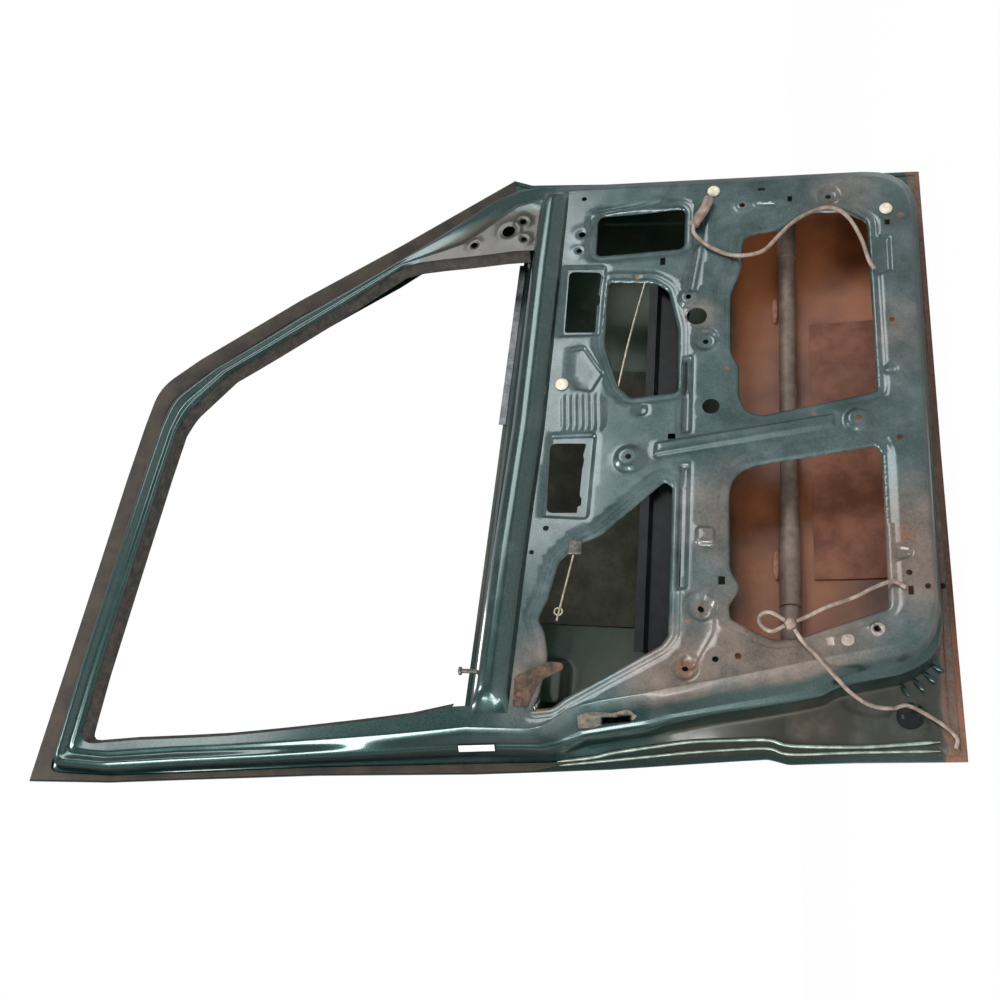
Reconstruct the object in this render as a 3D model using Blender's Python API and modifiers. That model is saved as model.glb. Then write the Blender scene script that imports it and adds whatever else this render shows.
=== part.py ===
# Left front door shell of a car, stripped of its trim, glass, lock and hinges.
# X runs forward, Y outboard and Z up, with the door upright as it hangs on the car.
# The origin is the middle of the upper hinge seat, on the front shut face.

import math

import bmesh
import bpy
from mathutils import Vector
from mathutils.geometry import delaunay_2d_cdt

# Driving sizes in metres. X shares are taken of door_length, from the front edge of the
# inner face. Z shares are taken of frame_height, from the middle of the lower body.
door_length = 0.95
frame_height = 0.95
hem_depth = 0.080
panel_sheet = 0.0010
skin_sheet = 0.0008
skin_bulge = 0.024
seat_gap = 0.0003
skin_gap = 0.0009

# Depths of the shut face steps, measured outboard from the inner face.
fillet_depth = 0.007
ledge_depth = 0.030
ledge_fall = 0.004
ledge_run_share = 0.8
front_ledge_depth = 0.010
shelf_rise = 0.010
wall_draft = 0.002

# Window frame: how far the hem plane leans in, and how far each fold stands inboard of it.
lean_share = 0.109
blend_share = 0.45
belt_share = 0.400
frame_rise = 0.028
frame_rise_shares = (0.0, 0.0, 0.11, 0.79, 1.0, 0.79, 0.93, 0.86)

# Turned edges, beads and dishes of the inner panel.
lip_width = 0.006
lip_depth = 0.004
pad_depth = 0.004
pad_wall = 0.004
groove_depth = 0.006
bead_height = 0.006
fold_width = 0.005
dish_height = 0.006
dish_seat_share = 0.52
bolt_hole = 0.0042

# Hem, belt and frame pieces.
hem_width = 0.0065
hem_clearance = 0.0004
strip_sheet = 0.0012
strip_outer_margin = 0.0006
strip_inner_margin = 0.0012
rail_sheet = 0.0012
rail_bulge = 0.017
belt_outer_rise = 0.012
belt_outer_height = 0.036
belt_outer_drop = 0.006
bright_height = 0.010
bright_sheet = 0.0010
run_sheet = 0.0014
run_depth = 0.016
run_cover = 0.004
run_spread = 0.010

# Beam, rails and pads inside the cavity.
beam_radius = 0.0125
beam_skin_gap = 0.003
bracket_sheet = 0.0015
bracket_half_height = 0.019
bracket_clearance = 0.0012
bracket_steps = 6
foot_stations = 2
sleeve_wall = 0.0020
guide_sheet = 0.0012
guide_height = 0.060
guide_flange = 0.012
guide_crown = 0.013
pad_sheet = 0.0018
mastic_length = 0.046
mastic_height = 0.010
mastic_thickness = 0.007

# Hinge and latch seats.
hinge_depth = 0.038
hinge_bolt_radius = 0.0045
hinge_bolt_pitch = 0.044
hinge_plate = 0.0025
hinge_plate_edge = 0.0005
hinge_plate_width = 0.042
hinge_plate_height = 0.078
harness_hole_radius = 0.014
latch_slot_width = 0.010
latch_slot_height = 0.036
latch_lean_share = 0.6
latch_depth_share = 0.62
cut_run = 0.030

# Small pieces.
clip_radius = 0.0095
clip_head = 0.006
clip_shaft = 0.0036
clip_reach = 0.009
clip_profile_shares = ((0.0, 1.0), (0.55, 0.92), (0.90, 0.60), (1.0, 0.25), (0.96, 0.0))
clip_taper_share = 0.8
clip_tip_share = 0.5
stud_radius = 0.0030
stud_head_radius = 0.0055
stud_head = 0.004
stud_dome_share = 0.7
stud_length = 0.060
rod_radius = 0.0016
rod_clip_length = 0.021
rod_clip_height = 0.018
rod_clip_depth = 0.006
rod_clip_edge = 0.001
bracket_plate = 0.0015
lead_radius = 0.0030
lead_spacing = 0.015
wrap_radius = 0.0075
wrap_spacing = 0.015
strap_radius = 0.0026
strap_spacing = 0.008
knot_radius = 0.0075
handle_depth = 0.024

# Steps and sides of round things, and how near two points count as one.
longest_side = 0.042
round_steps = 4
notch_steps = 2
small_sides = 8
dish_sides = 14
turned_sides = 16
ball_rings = 8
small_hole_share = 0.5
shade_degrees = 30.0
rail_degrees = 50.0
same_point = 0.000001
merge_gap = 0.00005
mitre_limit = 0.5

# Folds of the shell from the outer edge in to the window, as (x, z, rounding) shares.
# Each is a closed loop that starts at the bottom rear and runs up the rear edge.
outer_edge_shares = (
    (-0.930, -0.255, 0), (-0.936, -0.115, 0), (-0.942, -0.026, 0.2), (-0.935, 0.000, 0.2),
    (-0.946, 0.105, 0), (-0.957, 0.210, 0), (-0.965, 0.315, 0), (-0.971, 0.400, 0),
    (-0.988, 0.621, 0), (-1.008, 0.817, 0), (-1.018, 0.912, 0), (-1.024, 1.026, 0),
    (-0.905, 1.017, 0), (-0.812, 1.010, 0), (-0.680, 1.000, 0), (-0.541, 0.990, 0),
    (-0.440, 0.981, 0), (-0.368, 0.972, 0.4), (-0.312, 0.916, 0), (-0.188, 0.769, 0),
    (-0.069, 0.614, 0), (0.008, 0.519, 0), (0.080, 0.430, 0), (0.071, 0.400, 0),
    (0.062, 0.200, 0), (0.060, -0.244, 0), (-0.468, -0.248, 0), (-0.768, -0.252, 0),
)
flange_shares = (
    (-0.905, -0.236, 0.3), (-0.911, -0.171, 0), (-0.916, -0.115, 0), (-0.917, -0.026, 0),
    (-0.910, 0.000, 0), (-0.912, 0.052, 0), (-0.916, 0.105, 0), (-0.925, 0.157, 0),
    (-0.935, 0.210, 0), (-0.942, 0.235, 0), (-0.951, 0.290, 0), (-0.957, 0.400, 0),
    (-0.977, 0.621, 0), (-0.999, 0.817, 0), (-1.009, 0.912, 0), (-1.010, 1.000, 0.15),
    (-0.864, 0.991, 0), (-0.662, 0.973, 0), (-0.540, 0.963, 0), (-0.439, 0.955, 0),
    (-0.392, 0.947, 0.4), (-0.340, 0.900, 0), (-0.218, 0.760, 0), (-0.106, 0.606, 0),
    (-0.035, 0.512, 0), (0.040, 0.430, 0.1), (0.046, 0.400, 0), (0.042, 0.380, 0),
    (0.040, -0.236, 0.06), (-0.468, -0.236, 0), (-0.768, -0.236, 0),
)
ledge_outer_shares = (
    (-0.760, -0.229, 0), (-0.788, -0.222, 0), (-0.805, -0.211, 0), (-0.820, -0.192, 0),
    (-0.830, -0.171, 0), (-0.836, -0.145, 0), (-0.843, -0.115, 0), (-0.850, -0.090, 0),
    (-0.862, -0.070, 0), (-0.871, -0.031, 0), (-0.879, 0.010, 0), (-0.888, 0.061, 0),
    (-0.902, 0.130, 0), (-0.911, 0.157, 0), (-0.920, 0.204, 0), (-0.928, 0.244, 0),
    (-0.939, 0.272, 0), (-0.946, 0.300, 0), (-0.948, 0.400, 0), (-0.971, 0.621, 0),
    (-0.993, 0.817, 0), (-1.005, 0.912, 0), (-1.004, 0.990, 0.15), (-0.864, 0.982, 0),
    (-0.662, 0.965, 0), (-0.541, 0.955, 0), (-0.459, 0.947, 0), (-0.402, 0.937, 0.4),
    (-0.345, 0.883, 0), (-0.236, 0.755, 0), (-0.127, 0.604, 0), (-0.058, 0.510, 0), (-0.012, 0.448, 0),
    (0.006, 0.403, 0), (0.006, 0.370, 0), (0.006, -0.229, 0.165), (-0.468, -0.229, 0),
)
ledge_inner_shares = (
    (-0.745, -0.226, 0), (-0.777, -0.218, 0), (-0.797, -0.206, 0), (-0.811, -0.188, 0),
    (-0.819, -0.170, 0), (-0.825, -0.145, 0), (-0.832, -0.112, 0), (-0.840, -0.085, 0),
    (-0.852, -0.063, 0), (-0.861, -0.031, 0), (-0.870, 0.010, 0), (-0.880, 0.061, 0),
    (-0.894, 0.130, 0), (-0.903, 0.157, 0), (-0.912, 0.204, 0), (-0.921, 0.248, 0),
    (-0.934, 0.277, 0), (-0.941, 0.302, 0), (-0.944, 0.400, 0), (-0.966, 0.621, 0),
    (-0.987, 0.817, 0), (-0.999, 0.912, 0), (-0.998, 0.982, 0.15), (-0.864, 0.974, 0),
    (-0.662, 0.957, 0), (-0.541, 0.947, 0), (-0.459, 0.939, 0), (-0.407, 0.929, 0.4),
    (-0.346, 0.874, 0), (-0.243, 0.749, 0), (-0.131, 0.600, 0), (-0.067, 0.504, 0), (-0.040, 0.447, 0),
    (-0.005, 0.402, 0), (0.004, 0.370, 0), (0.004, -0.226, 0.165), (-0.468, -0.226, 0),
)
fillet_shares = (
    (-0.726, -0.221, 0), (-0.756, -0.216, 0), (-0.783, -0.206, 0), (-0.799, -0.190, 0),
    (-0.808, -0.171, 0), (-0.814, -0.146, 0), (-0.820, -0.119, 0), (-0.827, -0.093, 0),
    (-0.834, -0.065, 0), (-0.846, -0.020, 0), (-0.859, 0.040, 0), (-0.874, 0.100, 0),
    (-0.883, 0.140, 0), (-0.891, 0.190, 0), (-0.904, 0.245, 0), (-0.913, 0.268, 0),
    (-0.926, 0.283, 0), (-0.934, 0.297, 0), (-0.938, 0.314, 0), (-0.938, 0.400, 0),
    (-0.957, 0.621, 0), (-0.976, 0.817, 0), (-0.989, 0.912, 0), (-0.987, 0.970, 0.2),
    (-0.864, 0.963, 0), (-0.662, 0.947, 0), (-0.541, 0.936, 0), (-0.459, 0.928, 0),
    (-0.414, 0.918, 0.4), (-0.347, 0.866, 0), (-0.248, 0.746, 0), (-0.135, 0.597, 0),
    (-0.098, 0.492, 0),
    (-0.036, 0.408, 0), (-0.024, 0.366, 0), (-0.002, 0.330, 0), (0.000, -0.221, 0.165),
    (-0.468, -0.221, 0),
)
crease_shares = (
    (-0.730, -0.216, 0), (-0.754, -0.211, 0), (-0.777, -0.202, 0), (-0.791, -0.187, 0),
    (-0.800, -0.168, 0), (-0.807, -0.143, 0), (-0.812, -0.116, 0), (-0.818, -0.090, 0),
    (-0.827, -0.055, 0), (-0.840, 0.000, 0), (-0.854, 0.060, 0), (-0.869, 0.130, 0),
    (-0.878, 0.165, 0), (-0.889, 0.220, 0), (-0.896, 0.245, 0), (-0.904, 0.264, 0),
    (-0.917, 0.281, 0), (-0.926, 0.294, 0), (-0.931, 0.312, 0), (-0.931, 0.400, 0),
    (-0.951, 0.621, 0), (-0.970, 0.817, 0), (-0.983, 0.912, 0), (-0.981, 0.963, 0.2),
    (-0.864, 0.956, 0), (-0.662, 0.940, 0), (-0.541, 0.930, 0), (-0.459, 0.922, 0),
    (-0.418, 0.911, 0.4), (-0.348, 0.859, 0), (-0.253, 0.742, 0), (-0.139, 0.594, 0),
    (-0.106, 0.486, 0),
    (-0.042, 0.402, 0), (-0.030, 0.362, 0), (-0.014, 0.315, 0), (-0.014, -0.216, 0.155),
    (-0.468, -0.216, 0),
)
window_lip_shares = (
    (-0.900, 0.374, 0), (-0.902, 0.424, 0), (-0.914, 0.482, 0), (-0.931, 0.613, 0),
    (-0.949, 0.745, 0), (-0.963, 0.877, 0), (-0.975, 0.956, 0.3), (-0.864, 0.951, 0),
    (-0.662, 0.935, 0),
    (-0.541, 0.925, 0), (-0.459, 0.917, 0), (-0.424, 0.905, 0.4), (-0.349, 0.851, 0),
    (-0.258, 0.738, 0), (-0.143, 0.591, 0), (-0.136, 0.558, 0),
    (-0.134, 0.520, 0), (-0.134, 0.375, 0), (-0.134, 0.350, 0), (-0.468, 0.360, 0),
)

# Cut-outs in the inner panel with a turned lip, as (x, z, rounding) shares.
front_speaker_shares = (
    (-0.070, 0.267, 0.15), (-0.058, 0.128, 0.15), (-0.138, 0.128, 0.15), (-0.147, 0.267, 0.15),
)
front_upper_shares = (
    (-0.198, 0.244, 0.12), (-0.202, 0.172, 0.3), (-0.219, 0.150, 0.3), (-0.293, 0.133, 0.1),
    (-0.404, 0.131, 0.12), (-0.412, 0.200, 0.2), (-0.393, 0.219, 0.3), (-0.318, 0.244, 0.12),
)
front_lower_shares = (
    (-0.119, 0.036, 0.3), (-0.107, -0.030, 0.3), (-0.077, -0.063, 0.3), (-0.080, -0.122, 0.3),
    (-0.102, -0.152, 0.2), (-0.409, -0.156, 0.06), (-0.446, 0.006, 0.15), (-0.440, 0.030, 0.3),
    (-0.410, 0.041, 0.2), (-0.362, 0.041, 0.2), (-0.335, 0.053, 0.2), (-0.228, 0.054, 0.1),
    (-0.180, 0.038, 0.2),
)
rear_lower_shares = (
    (-0.536, 0.054, 0.3), (-0.500, -0.150, 0.06), (-0.510, -0.158, 0.3), (-0.747, -0.158, 0.05),
    (-0.791, -0.043, 0.2), (-0.796, -0.005, 0.3), (-0.766, 0.050, 0.3), (-0.747, 0.052, 0.3),
    (-0.720, 0.035, 0.4), (-0.694, 0.051, 0.3),
)
rear_upper_shares = (
    (-0.555, 0.145, 0.3), (-0.564, 0.134, 0.3), (-0.791, 0.133, 0.04), (-0.806, 0.142, 0.3),
    (-0.884, 0.268, 0.06), (-0.898, 0.284, 0.3), (-0.902, 0.312, 0.2), (-0.876, 0.303, 0.3),
    (-0.826, 0.296, 0.3), (-0.790, 0.303, 0.3), (-0.770, 0.314, 0.4), (-0.744, 0.303, 0.3),
    (-0.683, 0.290, 0.2), (-0.656, 0.264, 0.3), (-0.640, 0.232, 0.2),
)
lipped_opening_shares = (
    front_speaker_shares, front_upper_shares, front_lower_shares, rear_lower_shares,
    rear_upper_shares,
)

# Two sunk pads below the belt, each with a notched cut-out.
sunk_pad_shares = (
    ((-0.166, 0.318, 0.1), (-0.168, 0.246, 0.15), (-0.304, 0.249, 0.15), (-0.304, 0.318, 0.1)),
    ((-0.476, 0.320, 0.1), (-0.474, 0.246, 0.15), (-0.620, 0.250, 0.15), (-0.616, 0.323, 0.1)),
)
notched_cut_shares = (
    ((-0.176, 0.308, 0.2), (-0.180, 0.256, 0.2), (-0.221, 0.259, 0), (-0.224, 0.256, 0.4),
     (-0.240, 0.256, 0.4), (-0.243, 0.260, 0), (-0.294, 0.260, 0.1), (-0.293, 0.308, 0.1)),
    ((-0.490, 0.316, 0.2), (-0.491, 0.262, 0.2), (-0.512, 0.266, 0.3), (-0.518, 0.264, 0.3),
     (-0.536, 0.266, 0), (-0.578, 0.267, 0), (-0.582, 0.264, 0.4), (-0.594, 0.264, 0.4),
     (-0.596, 0.269, 0), (-0.606, 0.269, 0.2), (-0.606, 0.314, 0.2)),
)

# Grooves are sunk, beads stand inboard, and each row runs round the foot of the form.
groove_shares = (
    ((-0.528, 0.127, 0.2), (-0.526, 0.107, 0.2), (-0.727, 0.107, 0.2), (-0.728, 0.127, 0.2)),
    ((-0.344, 0.127, 0.2), (-0.342, 0.107, 0.2), (-0.478, 0.107, 0.2), (-0.480, 0.127, 0.2)),
)
bead_shares = (
    ((-0.493, 0.163, 0.2), (-0.447, -0.097, 0.2), (-0.473, -0.097, 0.2), (-0.520, 0.163, 0.2)),
    ((-0.054, 0.020, 0.3), (-0.053, -0.020, 0.3), (-0.067, -0.020, 0.3), (-0.066, 0.020, 0.3)),
    ((-0.628, 0.101, 0.3), (-0.630, 0.069, 0.3), (-0.662, 0.069, 0.3), (-0.661, 0.101, 0.3)),
)
recess_shares = (
    ((-0.376, 0.300, 0.2), (-0.324, 0.302, 0.2), (-0.318, 0.274, 0.2), (-0.344, 0.258, 0.2),
     (-0.370, 0.240, 0.2), (-0.407, 0.258, 0.2), (-0.400, 0.286, 0.2)),
    ((-0.129, -0.165, 0.2), (-0.131, -0.187, 0.2), (-0.202, -0.187, 0.2), (-0.204, -0.165, 0.2)),
    ((-0.655, -0.168, 0.2), (-0.660, -0.194, 0.45), (-0.676, -0.194, 0.45), (-0.683, -0.168, 0.2)),
)

# Round dishes as (x, z, radius share of the largest, up for inboard and down for outboard).
dish_radius = 0.021
dish_shares = (
    (-0.239, 0.118, 0.86, 1), (-0.315, 0.091, 1.0, -1), (-0.520, 0.198, 1.1, 1),
    (-0.460, -0.127, 1.0, 1), (-0.064, 0.038, 0.55, 1), (-0.752, 0.090, 1.05, -1),
    (-0.839, 0.109, 0.95, -1), (-0.781, -0.141, 0.55, 1), (-0.048, -0.095, 0.9, -1),
    (-0.437, 0.183, 0.5, -1), (-0.374, -0.176, 0.5, -1),
)
# Plain round holes as (x, z, radius share of the largest).
hole_radius = 0.0148
hole_shares = (
    (-0.272, 0.105, 1.0), (-0.433, 0.081, 0.82), (-0.139, 0.294, 0.28), (-0.107, 0.291, 0.36),
    (-0.034, 0.292, 0.28), (-0.633, 0.312, 0.28), (-0.827, 0.069, 0.28), (-0.822, 0.039, 0.30),
    (-0.288, -0.181, 0.27), (-0.489, -0.183, 0.27), (-0.671, 0.330, 0.24), (-0.698, -0.186, 0.27),
    (-0.112, 0.470, 0.36), (-0.075, 0.390, 0.36), (-0.111, 0.386, 0.30), (-0.092, 0.413, 0.70),
)
# Square holes as (x, z, width, height), all shares.
square_hole_shares = (
    (-0.166, 0.160, 0.014, 0.008), (-0.483, 0.137, 0.009, 0.011), (-0.712, 0.062, 0.013, 0.009),
    (-0.031, 0.008, 0.006, 0.011), (-0.053, -0.036, 0.011, 0.007), (-0.107, -0.182, 0.010, 0.008),
    (-0.724, -0.187, 0.013, 0.007),
)
clip_shares = ((-0.032, 0.083), (-0.082, -0.181), (-0.391, 0.305))

# Outer skin: window opening, handle recess and lock hole.
skin_window_shares = (
    (-0.892, 0.424, 0), (-0.904, 0.485, 0), (-0.921, 0.617, 0), (-0.939, 0.749, 0),
    (-0.953, 0.882, 0), (-0.962, 0.950, 0.3), (-0.904, 0.952, 0), (-0.807, 0.947, 0), (-0.675, 0.940, 0),
    (-0.536, 0.926, 0), (-0.440, 0.914, 0), (-0.400, 0.905, 0.3), (-0.349, 0.852, 0),
    (-0.270, 0.756, 0), (-0.152, 0.604, 0), (-0.100, 0.545, 0.3), (-0.088, 0.500, 0),
    (-0.088, 0.401, 0), (-0.468, 0.411, 0),
)
handle_shares = ((-0.793, 0.328, 0.4), (-0.793, 0.274, 0.4), (-0.884, 0.274, 0.4),
                 (-0.884, 0.328, 0.4))
handle_floor_share = 0.62
skin_column_shares = (-0.90, -0.85, -0.76, -0.65, -0.54, -0.43, -0.32, -0.21, -0.11, -0.03, 0.03)
skin_row_shares = (-0.20, -0.12, -0.04, 0.05, 0.14, 0.22, 0.29, 0.34, 0.385)
skin_corner_shares = ((-0.954, 0.400), (0.048, 0.400))
body_bottom_share = -0.250
body_rear_share = -0.940
body_front_share = 0.064

# Belt pieces, beam and cavity pieces.
belt_rail_shares = (
    (-0.910, 0.344, 0.394), (-0.668, 0.336, 0.386), (-0.468, 0.326, 0.375),
    (-0.168, 0.320, 0.369), (-0.052, 0.318, 0.364), (-0.018, 0.318, 0.358),
)
rail_section_shares = ((0.0, 0.0), (0.08, 0.45), (0.35, 0.94), (0.70, 1.0), (0.90, 0.62), (1.0, 0.04))
belt_outer_span_share = (-0.890, -0.080)
belt_outer_section_shares = ((0.0, 0.0), (0.22, 1.0), (0.78, 1.0), (1.0, 0.0))
bright_span_share = (-0.410, -0.100)
strip_end_share = 0.225
strip_front_share = 0.426
run_rear_share = 0.415
run_front_share = 0.370
beam_height_share = -0.0315
beam_span_share = (-0.800, -0.060)
rear_bracket_share = (-0.890, -0.878, -0.845, -0.780, -0.716)
front_bracket_share = (0.030, 0.006, -0.020, -0.065, -0.105)
sleeve_span_share = (-0.714, -0.592)
guide_span_share = (-0.815, -0.160)
guide_foot_share = 0.116
mastic_shares = (-0.192, -0.640, -0.420)
skin_pad_shares = (((-0.741, -0.303), (0.170, 0.330)), ((-0.664, -0.223), (-0.170, -0.066)))

# Seats and small pieces.
hinge_share = 0.006
hinge_height_shares = (0.240, -0.080)
harness_share = 0.090
latch_share = (-0.9135, 0.200)
bracket_shares = (
    (-0.900, 0.338, 0.1), (-0.858, 0.338, 0.1), (-0.836, 0.292, 0.2), (-0.838, 0.274, 0.3),
    (-0.846, 0.272, 0.3), (-0.864, 0.304, 0.2), (-0.900, 0.318, 0.1),
)
bracket_hole_share = (-0.883, 0.331)
stud_share = (-0.850, 0.356)
lock_rod_shares = ((-0.420, 0.043), (-0.300, 0.025), (-0.176, 0.001))
handle_rod_shares = ((-0.777, 0.286), (-0.730, 0.278), (-0.6770, 0.269))
rod_clip_share = (-0.6650, 0.267)

# Cord routes as (x, z) shares with the depth in metres, chosen along the photographed route.
upper_lead_route = (
    (-0.1042, 0.1127, -0.0085), (-0.120, 0.112, -0.0085), (-0.142, 0.092, -0.0060),
    (-0.160, 0.060, -0.0036), (-0.164, 0.030, -0.0050), (-0.156, 0.004, -0.0050),
    (-0.132, -0.016, -0.0050), (-0.104, -0.040, -0.0050), (-0.084, -0.070, -0.0045),
    (-0.078, -0.100, -0.0040), (-0.098, -0.124, -0.0036), (-0.140, -0.142, -0.0036),
    (-0.182, -0.152, -0.0036), (-0.198, -0.160, -0.0036),
)
lead_wrap_route = (
    (-0.052, 0.090, -0.0080), (-0.072, 0.096, -0.0080), (-0.090, 0.106, -0.0082),
    (-0.1025, 0.112, -0.0085),
)
front_strap_route = (
    (-0.722, -0.180, -0.0032), (-0.713, -0.164, -0.0032), (-0.722, -0.140, -0.0036),
    (-0.738, -0.112, -0.0045), (-0.752, -0.078, -0.0060), (-0.767, -0.052, -0.0075),
    (-0.7751, -0.0362, -0.0095),
)
loop_strap_route = (
    (-0.7819, -0.0213, -0.0095), (-0.790, -0.006, -0.0095), (-0.785, 0.006, -0.0090),
    (-0.774, 0.012, -0.0090), (-0.765, 0.008, -0.0090), (-0.763, -0.004, -0.0095),
    (-0.7741, -0.0224, -0.0095),
)
rear_strap_route = (
    (-0.7862, -0.0343, -0.0095), (-0.8026, -0.0461, -0.0036), (-0.8254, -0.0661, -0.0034),
    (-0.8448, -0.0862, 0.0080), (-0.8625, -0.1083, 0.0240), (-0.8722, -0.1344, 0.0400),
    (-0.8705, -0.1607, 0.0520), (-0.8624, -0.1811, 0.0620), (-0.8718, -0.2065, 0.0700),
    (-0.8869, -0.2312, 0.0750), (-0.9020, -0.2439, 0.0766), (-0.9143, -0.2407, 0.0766),
)
knot_share = (-0.779, -0.029)
knot_depth = -0.0095

for old in list(bpy.data.objects):
    bpy.data.objects.remove(old, do_unlink=True)

door = bpy.data.collections.new("car_door_shell")
bpy.context.scene.collection.children.link(door)
cutters = bpy.data.collections.new("cutters")
bpy.context.scene.collection.children.link(cutters)

hinge_x = hinge_share * door_length
datum = bpy.data.objects.new("door_datum", None)
datum.location = (-hinge_x, -hinge_depth, -hinge_height_shares[0] * frame_height)
door.objects.link(datum)


def finish(name, colour, roughness, metallic):
    material = bpy.data.materials.new(name)
    material.use_nodes = True
    shader = material.node_tree.nodes["Principled BSDF"]
    shader.inputs["Base Color"].default_value = (*colour, 1.0)
    shader.inputs["Roughness"].default_value = roughness
    shader.inputs["Metallic"].default_value = metallic
    return material


def green_paint():
    return finish("green_paint", (0.020, 0.075, 0.068), 0.32, 0.55)


def skin_paint():
    return finish("skin_paint", (0.012, 0.050, 0.045), 0.25, 0.55)


def primer_strip():
    return finish("brown_black_strip", (0.050, 0.042, 0.036), 0.75, 0.0)


def beam_steel():
    return finish("dusty_beam_steel", (0.190, 0.170, 0.150), 0.55, 0.4)


def black_steel():
    return finish("black_rail_paint", (0.012, 0.013, 0.015), 0.45, 0.3)


def bright_metal():
    return finish("bright_strip_metal", (0.70, 0.72, 0.74), 0.22, 1.0)


def rod_metal():
    return finish("plated_rod", (0.52, 0.50, 0.44), 0.35, 0.9)


def rusty_steel():
    return finish("rusty_steel", (0.180, 0.070, 0.035), 0.80, 0.2)


def black_rubber():
    return finish("black_rubber", (0.010, 0.010, 0.010), 0.80, 0.0)


def bitumen_pad():
    return finish("bitumen_pad", (0.045, 0.050, 0.030), 0.90, 0.0)


def white_clip():
    return finish("white_clip_plastic", (0.78, 0.77, 0.70), 0.45, 0.0)


def mastic():
    return finish("pink_mastic", (0.42, 0.22, 0.17), 0.85, 0.0)


def dusty_cord():
    return finish("dusty_cord", (0.36, 0.29, 0.25), 0.80, 0.0)


# Points and outlines

def spot(x_share, z_share, depth):
    return Vector((x_share * door_length, depth, z_share * frame_height))


def plan_of(point):
    return Vector((point.x, point.z))


def limit(value, low, high):
    return min(max(value, low), high)


def flange_depth(z):
    above_belt = max(0.0, z - belt_share * frame_height)
    return hem_depth - lean_share * above_belt


def belt_fade(z):
    above_belt = max(0.0, z - belt_share * frame_height)
    way_up = limit(above_belt / (blend_share * frame_height), 0.0, 1.0)
    return (1.0 - way_up) ** 2


def ledge_depths(x):
    way_back = limit(-x / (ledge_run_share * door_length), 0.0, 1.0)
    inner = front_ledge_depth + (ledge_depth - front_ledge_depth) * way_back
    return inner + ledge_fall, inner


def fold_depth(fold, x, z):
    # Fold 0 is the outer edge and fold 7 the window lip.
    outer_ledge, inner_ledge = ledge_depths(x)
    body_depths = (hem_depth, hem_depth, hem_depth - shelf_rise, outer_ledge, inner_ledge, fillet_depth,
                   0.0, 0.0)
    rise_in_frame = frame_rise * frame_rise_shares[fold]
    rise_in_body = hem_depth - body_depths[fold]
    rise = rise_in_frame + (rise_in_body - rise_in_frame) * belt_fade(z)
    return flange_depth(z) - rise


def rounded(shares, steps):
    # Corner rows become a smooth bend that starts its rounding share along the shorter side.
    corners = [Vector((row[0] * door_length, row[1] * frame_height)) for row in shares]
    points = []
    for index, corner in enumerate(corners):
        rounding = shares[index][2]
        if not rounding:
            points.append(corner)
            continue
        before = corners[index - 1] - corner
        after = corners[(index + 1) % len(corners)] - corner
        reach = rounding * min(before.length, after.length)
        start = corner + before.normalized() * reach
        end = corner + after.normalized() * reach
        for step in range(steps + 1):
            t = step / steps
            points.append(start * (1 - t) ** 2 + corner * 2 * t * (1 - t) + end * t ** 2)
    return points


def area_of(points):
    total = 0.0
    for index, point in enumerate(points):
        following = points[(index + 1) % len(points)]
        total += point.x * following.y - following.x * point.y
    return total / 2


def grown(points, distance):
    # Moves a closed outline outward by the distance, with mitred corners.
    turn = -1.0 if area_of(points) > 0 else 1.0
    result = []
    for index, point in enumerate(points):
        before = (point - points[index - 1]).normalized()
        after = (points[(index + 1) % len(points)] - point).normalized()
        side = Vector((-before.y - after.y, before.x + after.x)).normalized()
        spread = max(mitre_limit, side.dot(Vector((-before.y, before.x))))
        result.append(point + side * (turn * distance / spread))
    return result


def circle(centre, radius, sides):
    points = []
    for step in range(sides):
        angle = 2 * math.pi * step / sides
        points.append(centre + Vector((math.cos(angle), math.sin(angle))) * radius)
    return points


def inside(point, outline):
    crossings = 0
    for index, corner in enumerate(outline):
        previous = outline[index - 1]
        if (corner.y > point.y) != (previous.y > point.y):
            x_cut = corner.x + (previous.x - corner.x) * (point.y - corner.y) / (previous.y - corner.y)
            if x_cut > point.x:
                crossings += 1
    return crossings % 2 == 1


def on_plan(points, depth):
    # Gives each plan point its depth, which is a number or a function of x and z.
    placed = []
    for point in points:
        y = depth(point.x, point.y) if callable(depth) else depth
        placed.append((point, Vector((point.x, y, point.y))))
    return placed


# Meshes and objects

def add_object(name, mesh, material):
    piece = bpy.data.objects.new(name, mesh)
    piece.data.materials.append(material)
    piece.parent = datum
    door.objects.link(piece)
    return piece


def smooth(piece, degrees=shade_degrees):
    piece.data.shade_smooth()
    piece.data.set_sharp_from_angle(angle=math.radians(degrees))
    return piece


def thicken(piece, thickness, inboard):
    # The modelled face stays and the thickness goes to its inboard or outboard side.
    solid = piece.modifiers.new("Sheet", "SOLIDIFY")
    solid.thickness = thickness
    solid.offset = 1.0
    solid.use_even_offset = True
    solid.use_rim = True
    if inboard:
        piece.data.flip_normals()
    return piece


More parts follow.
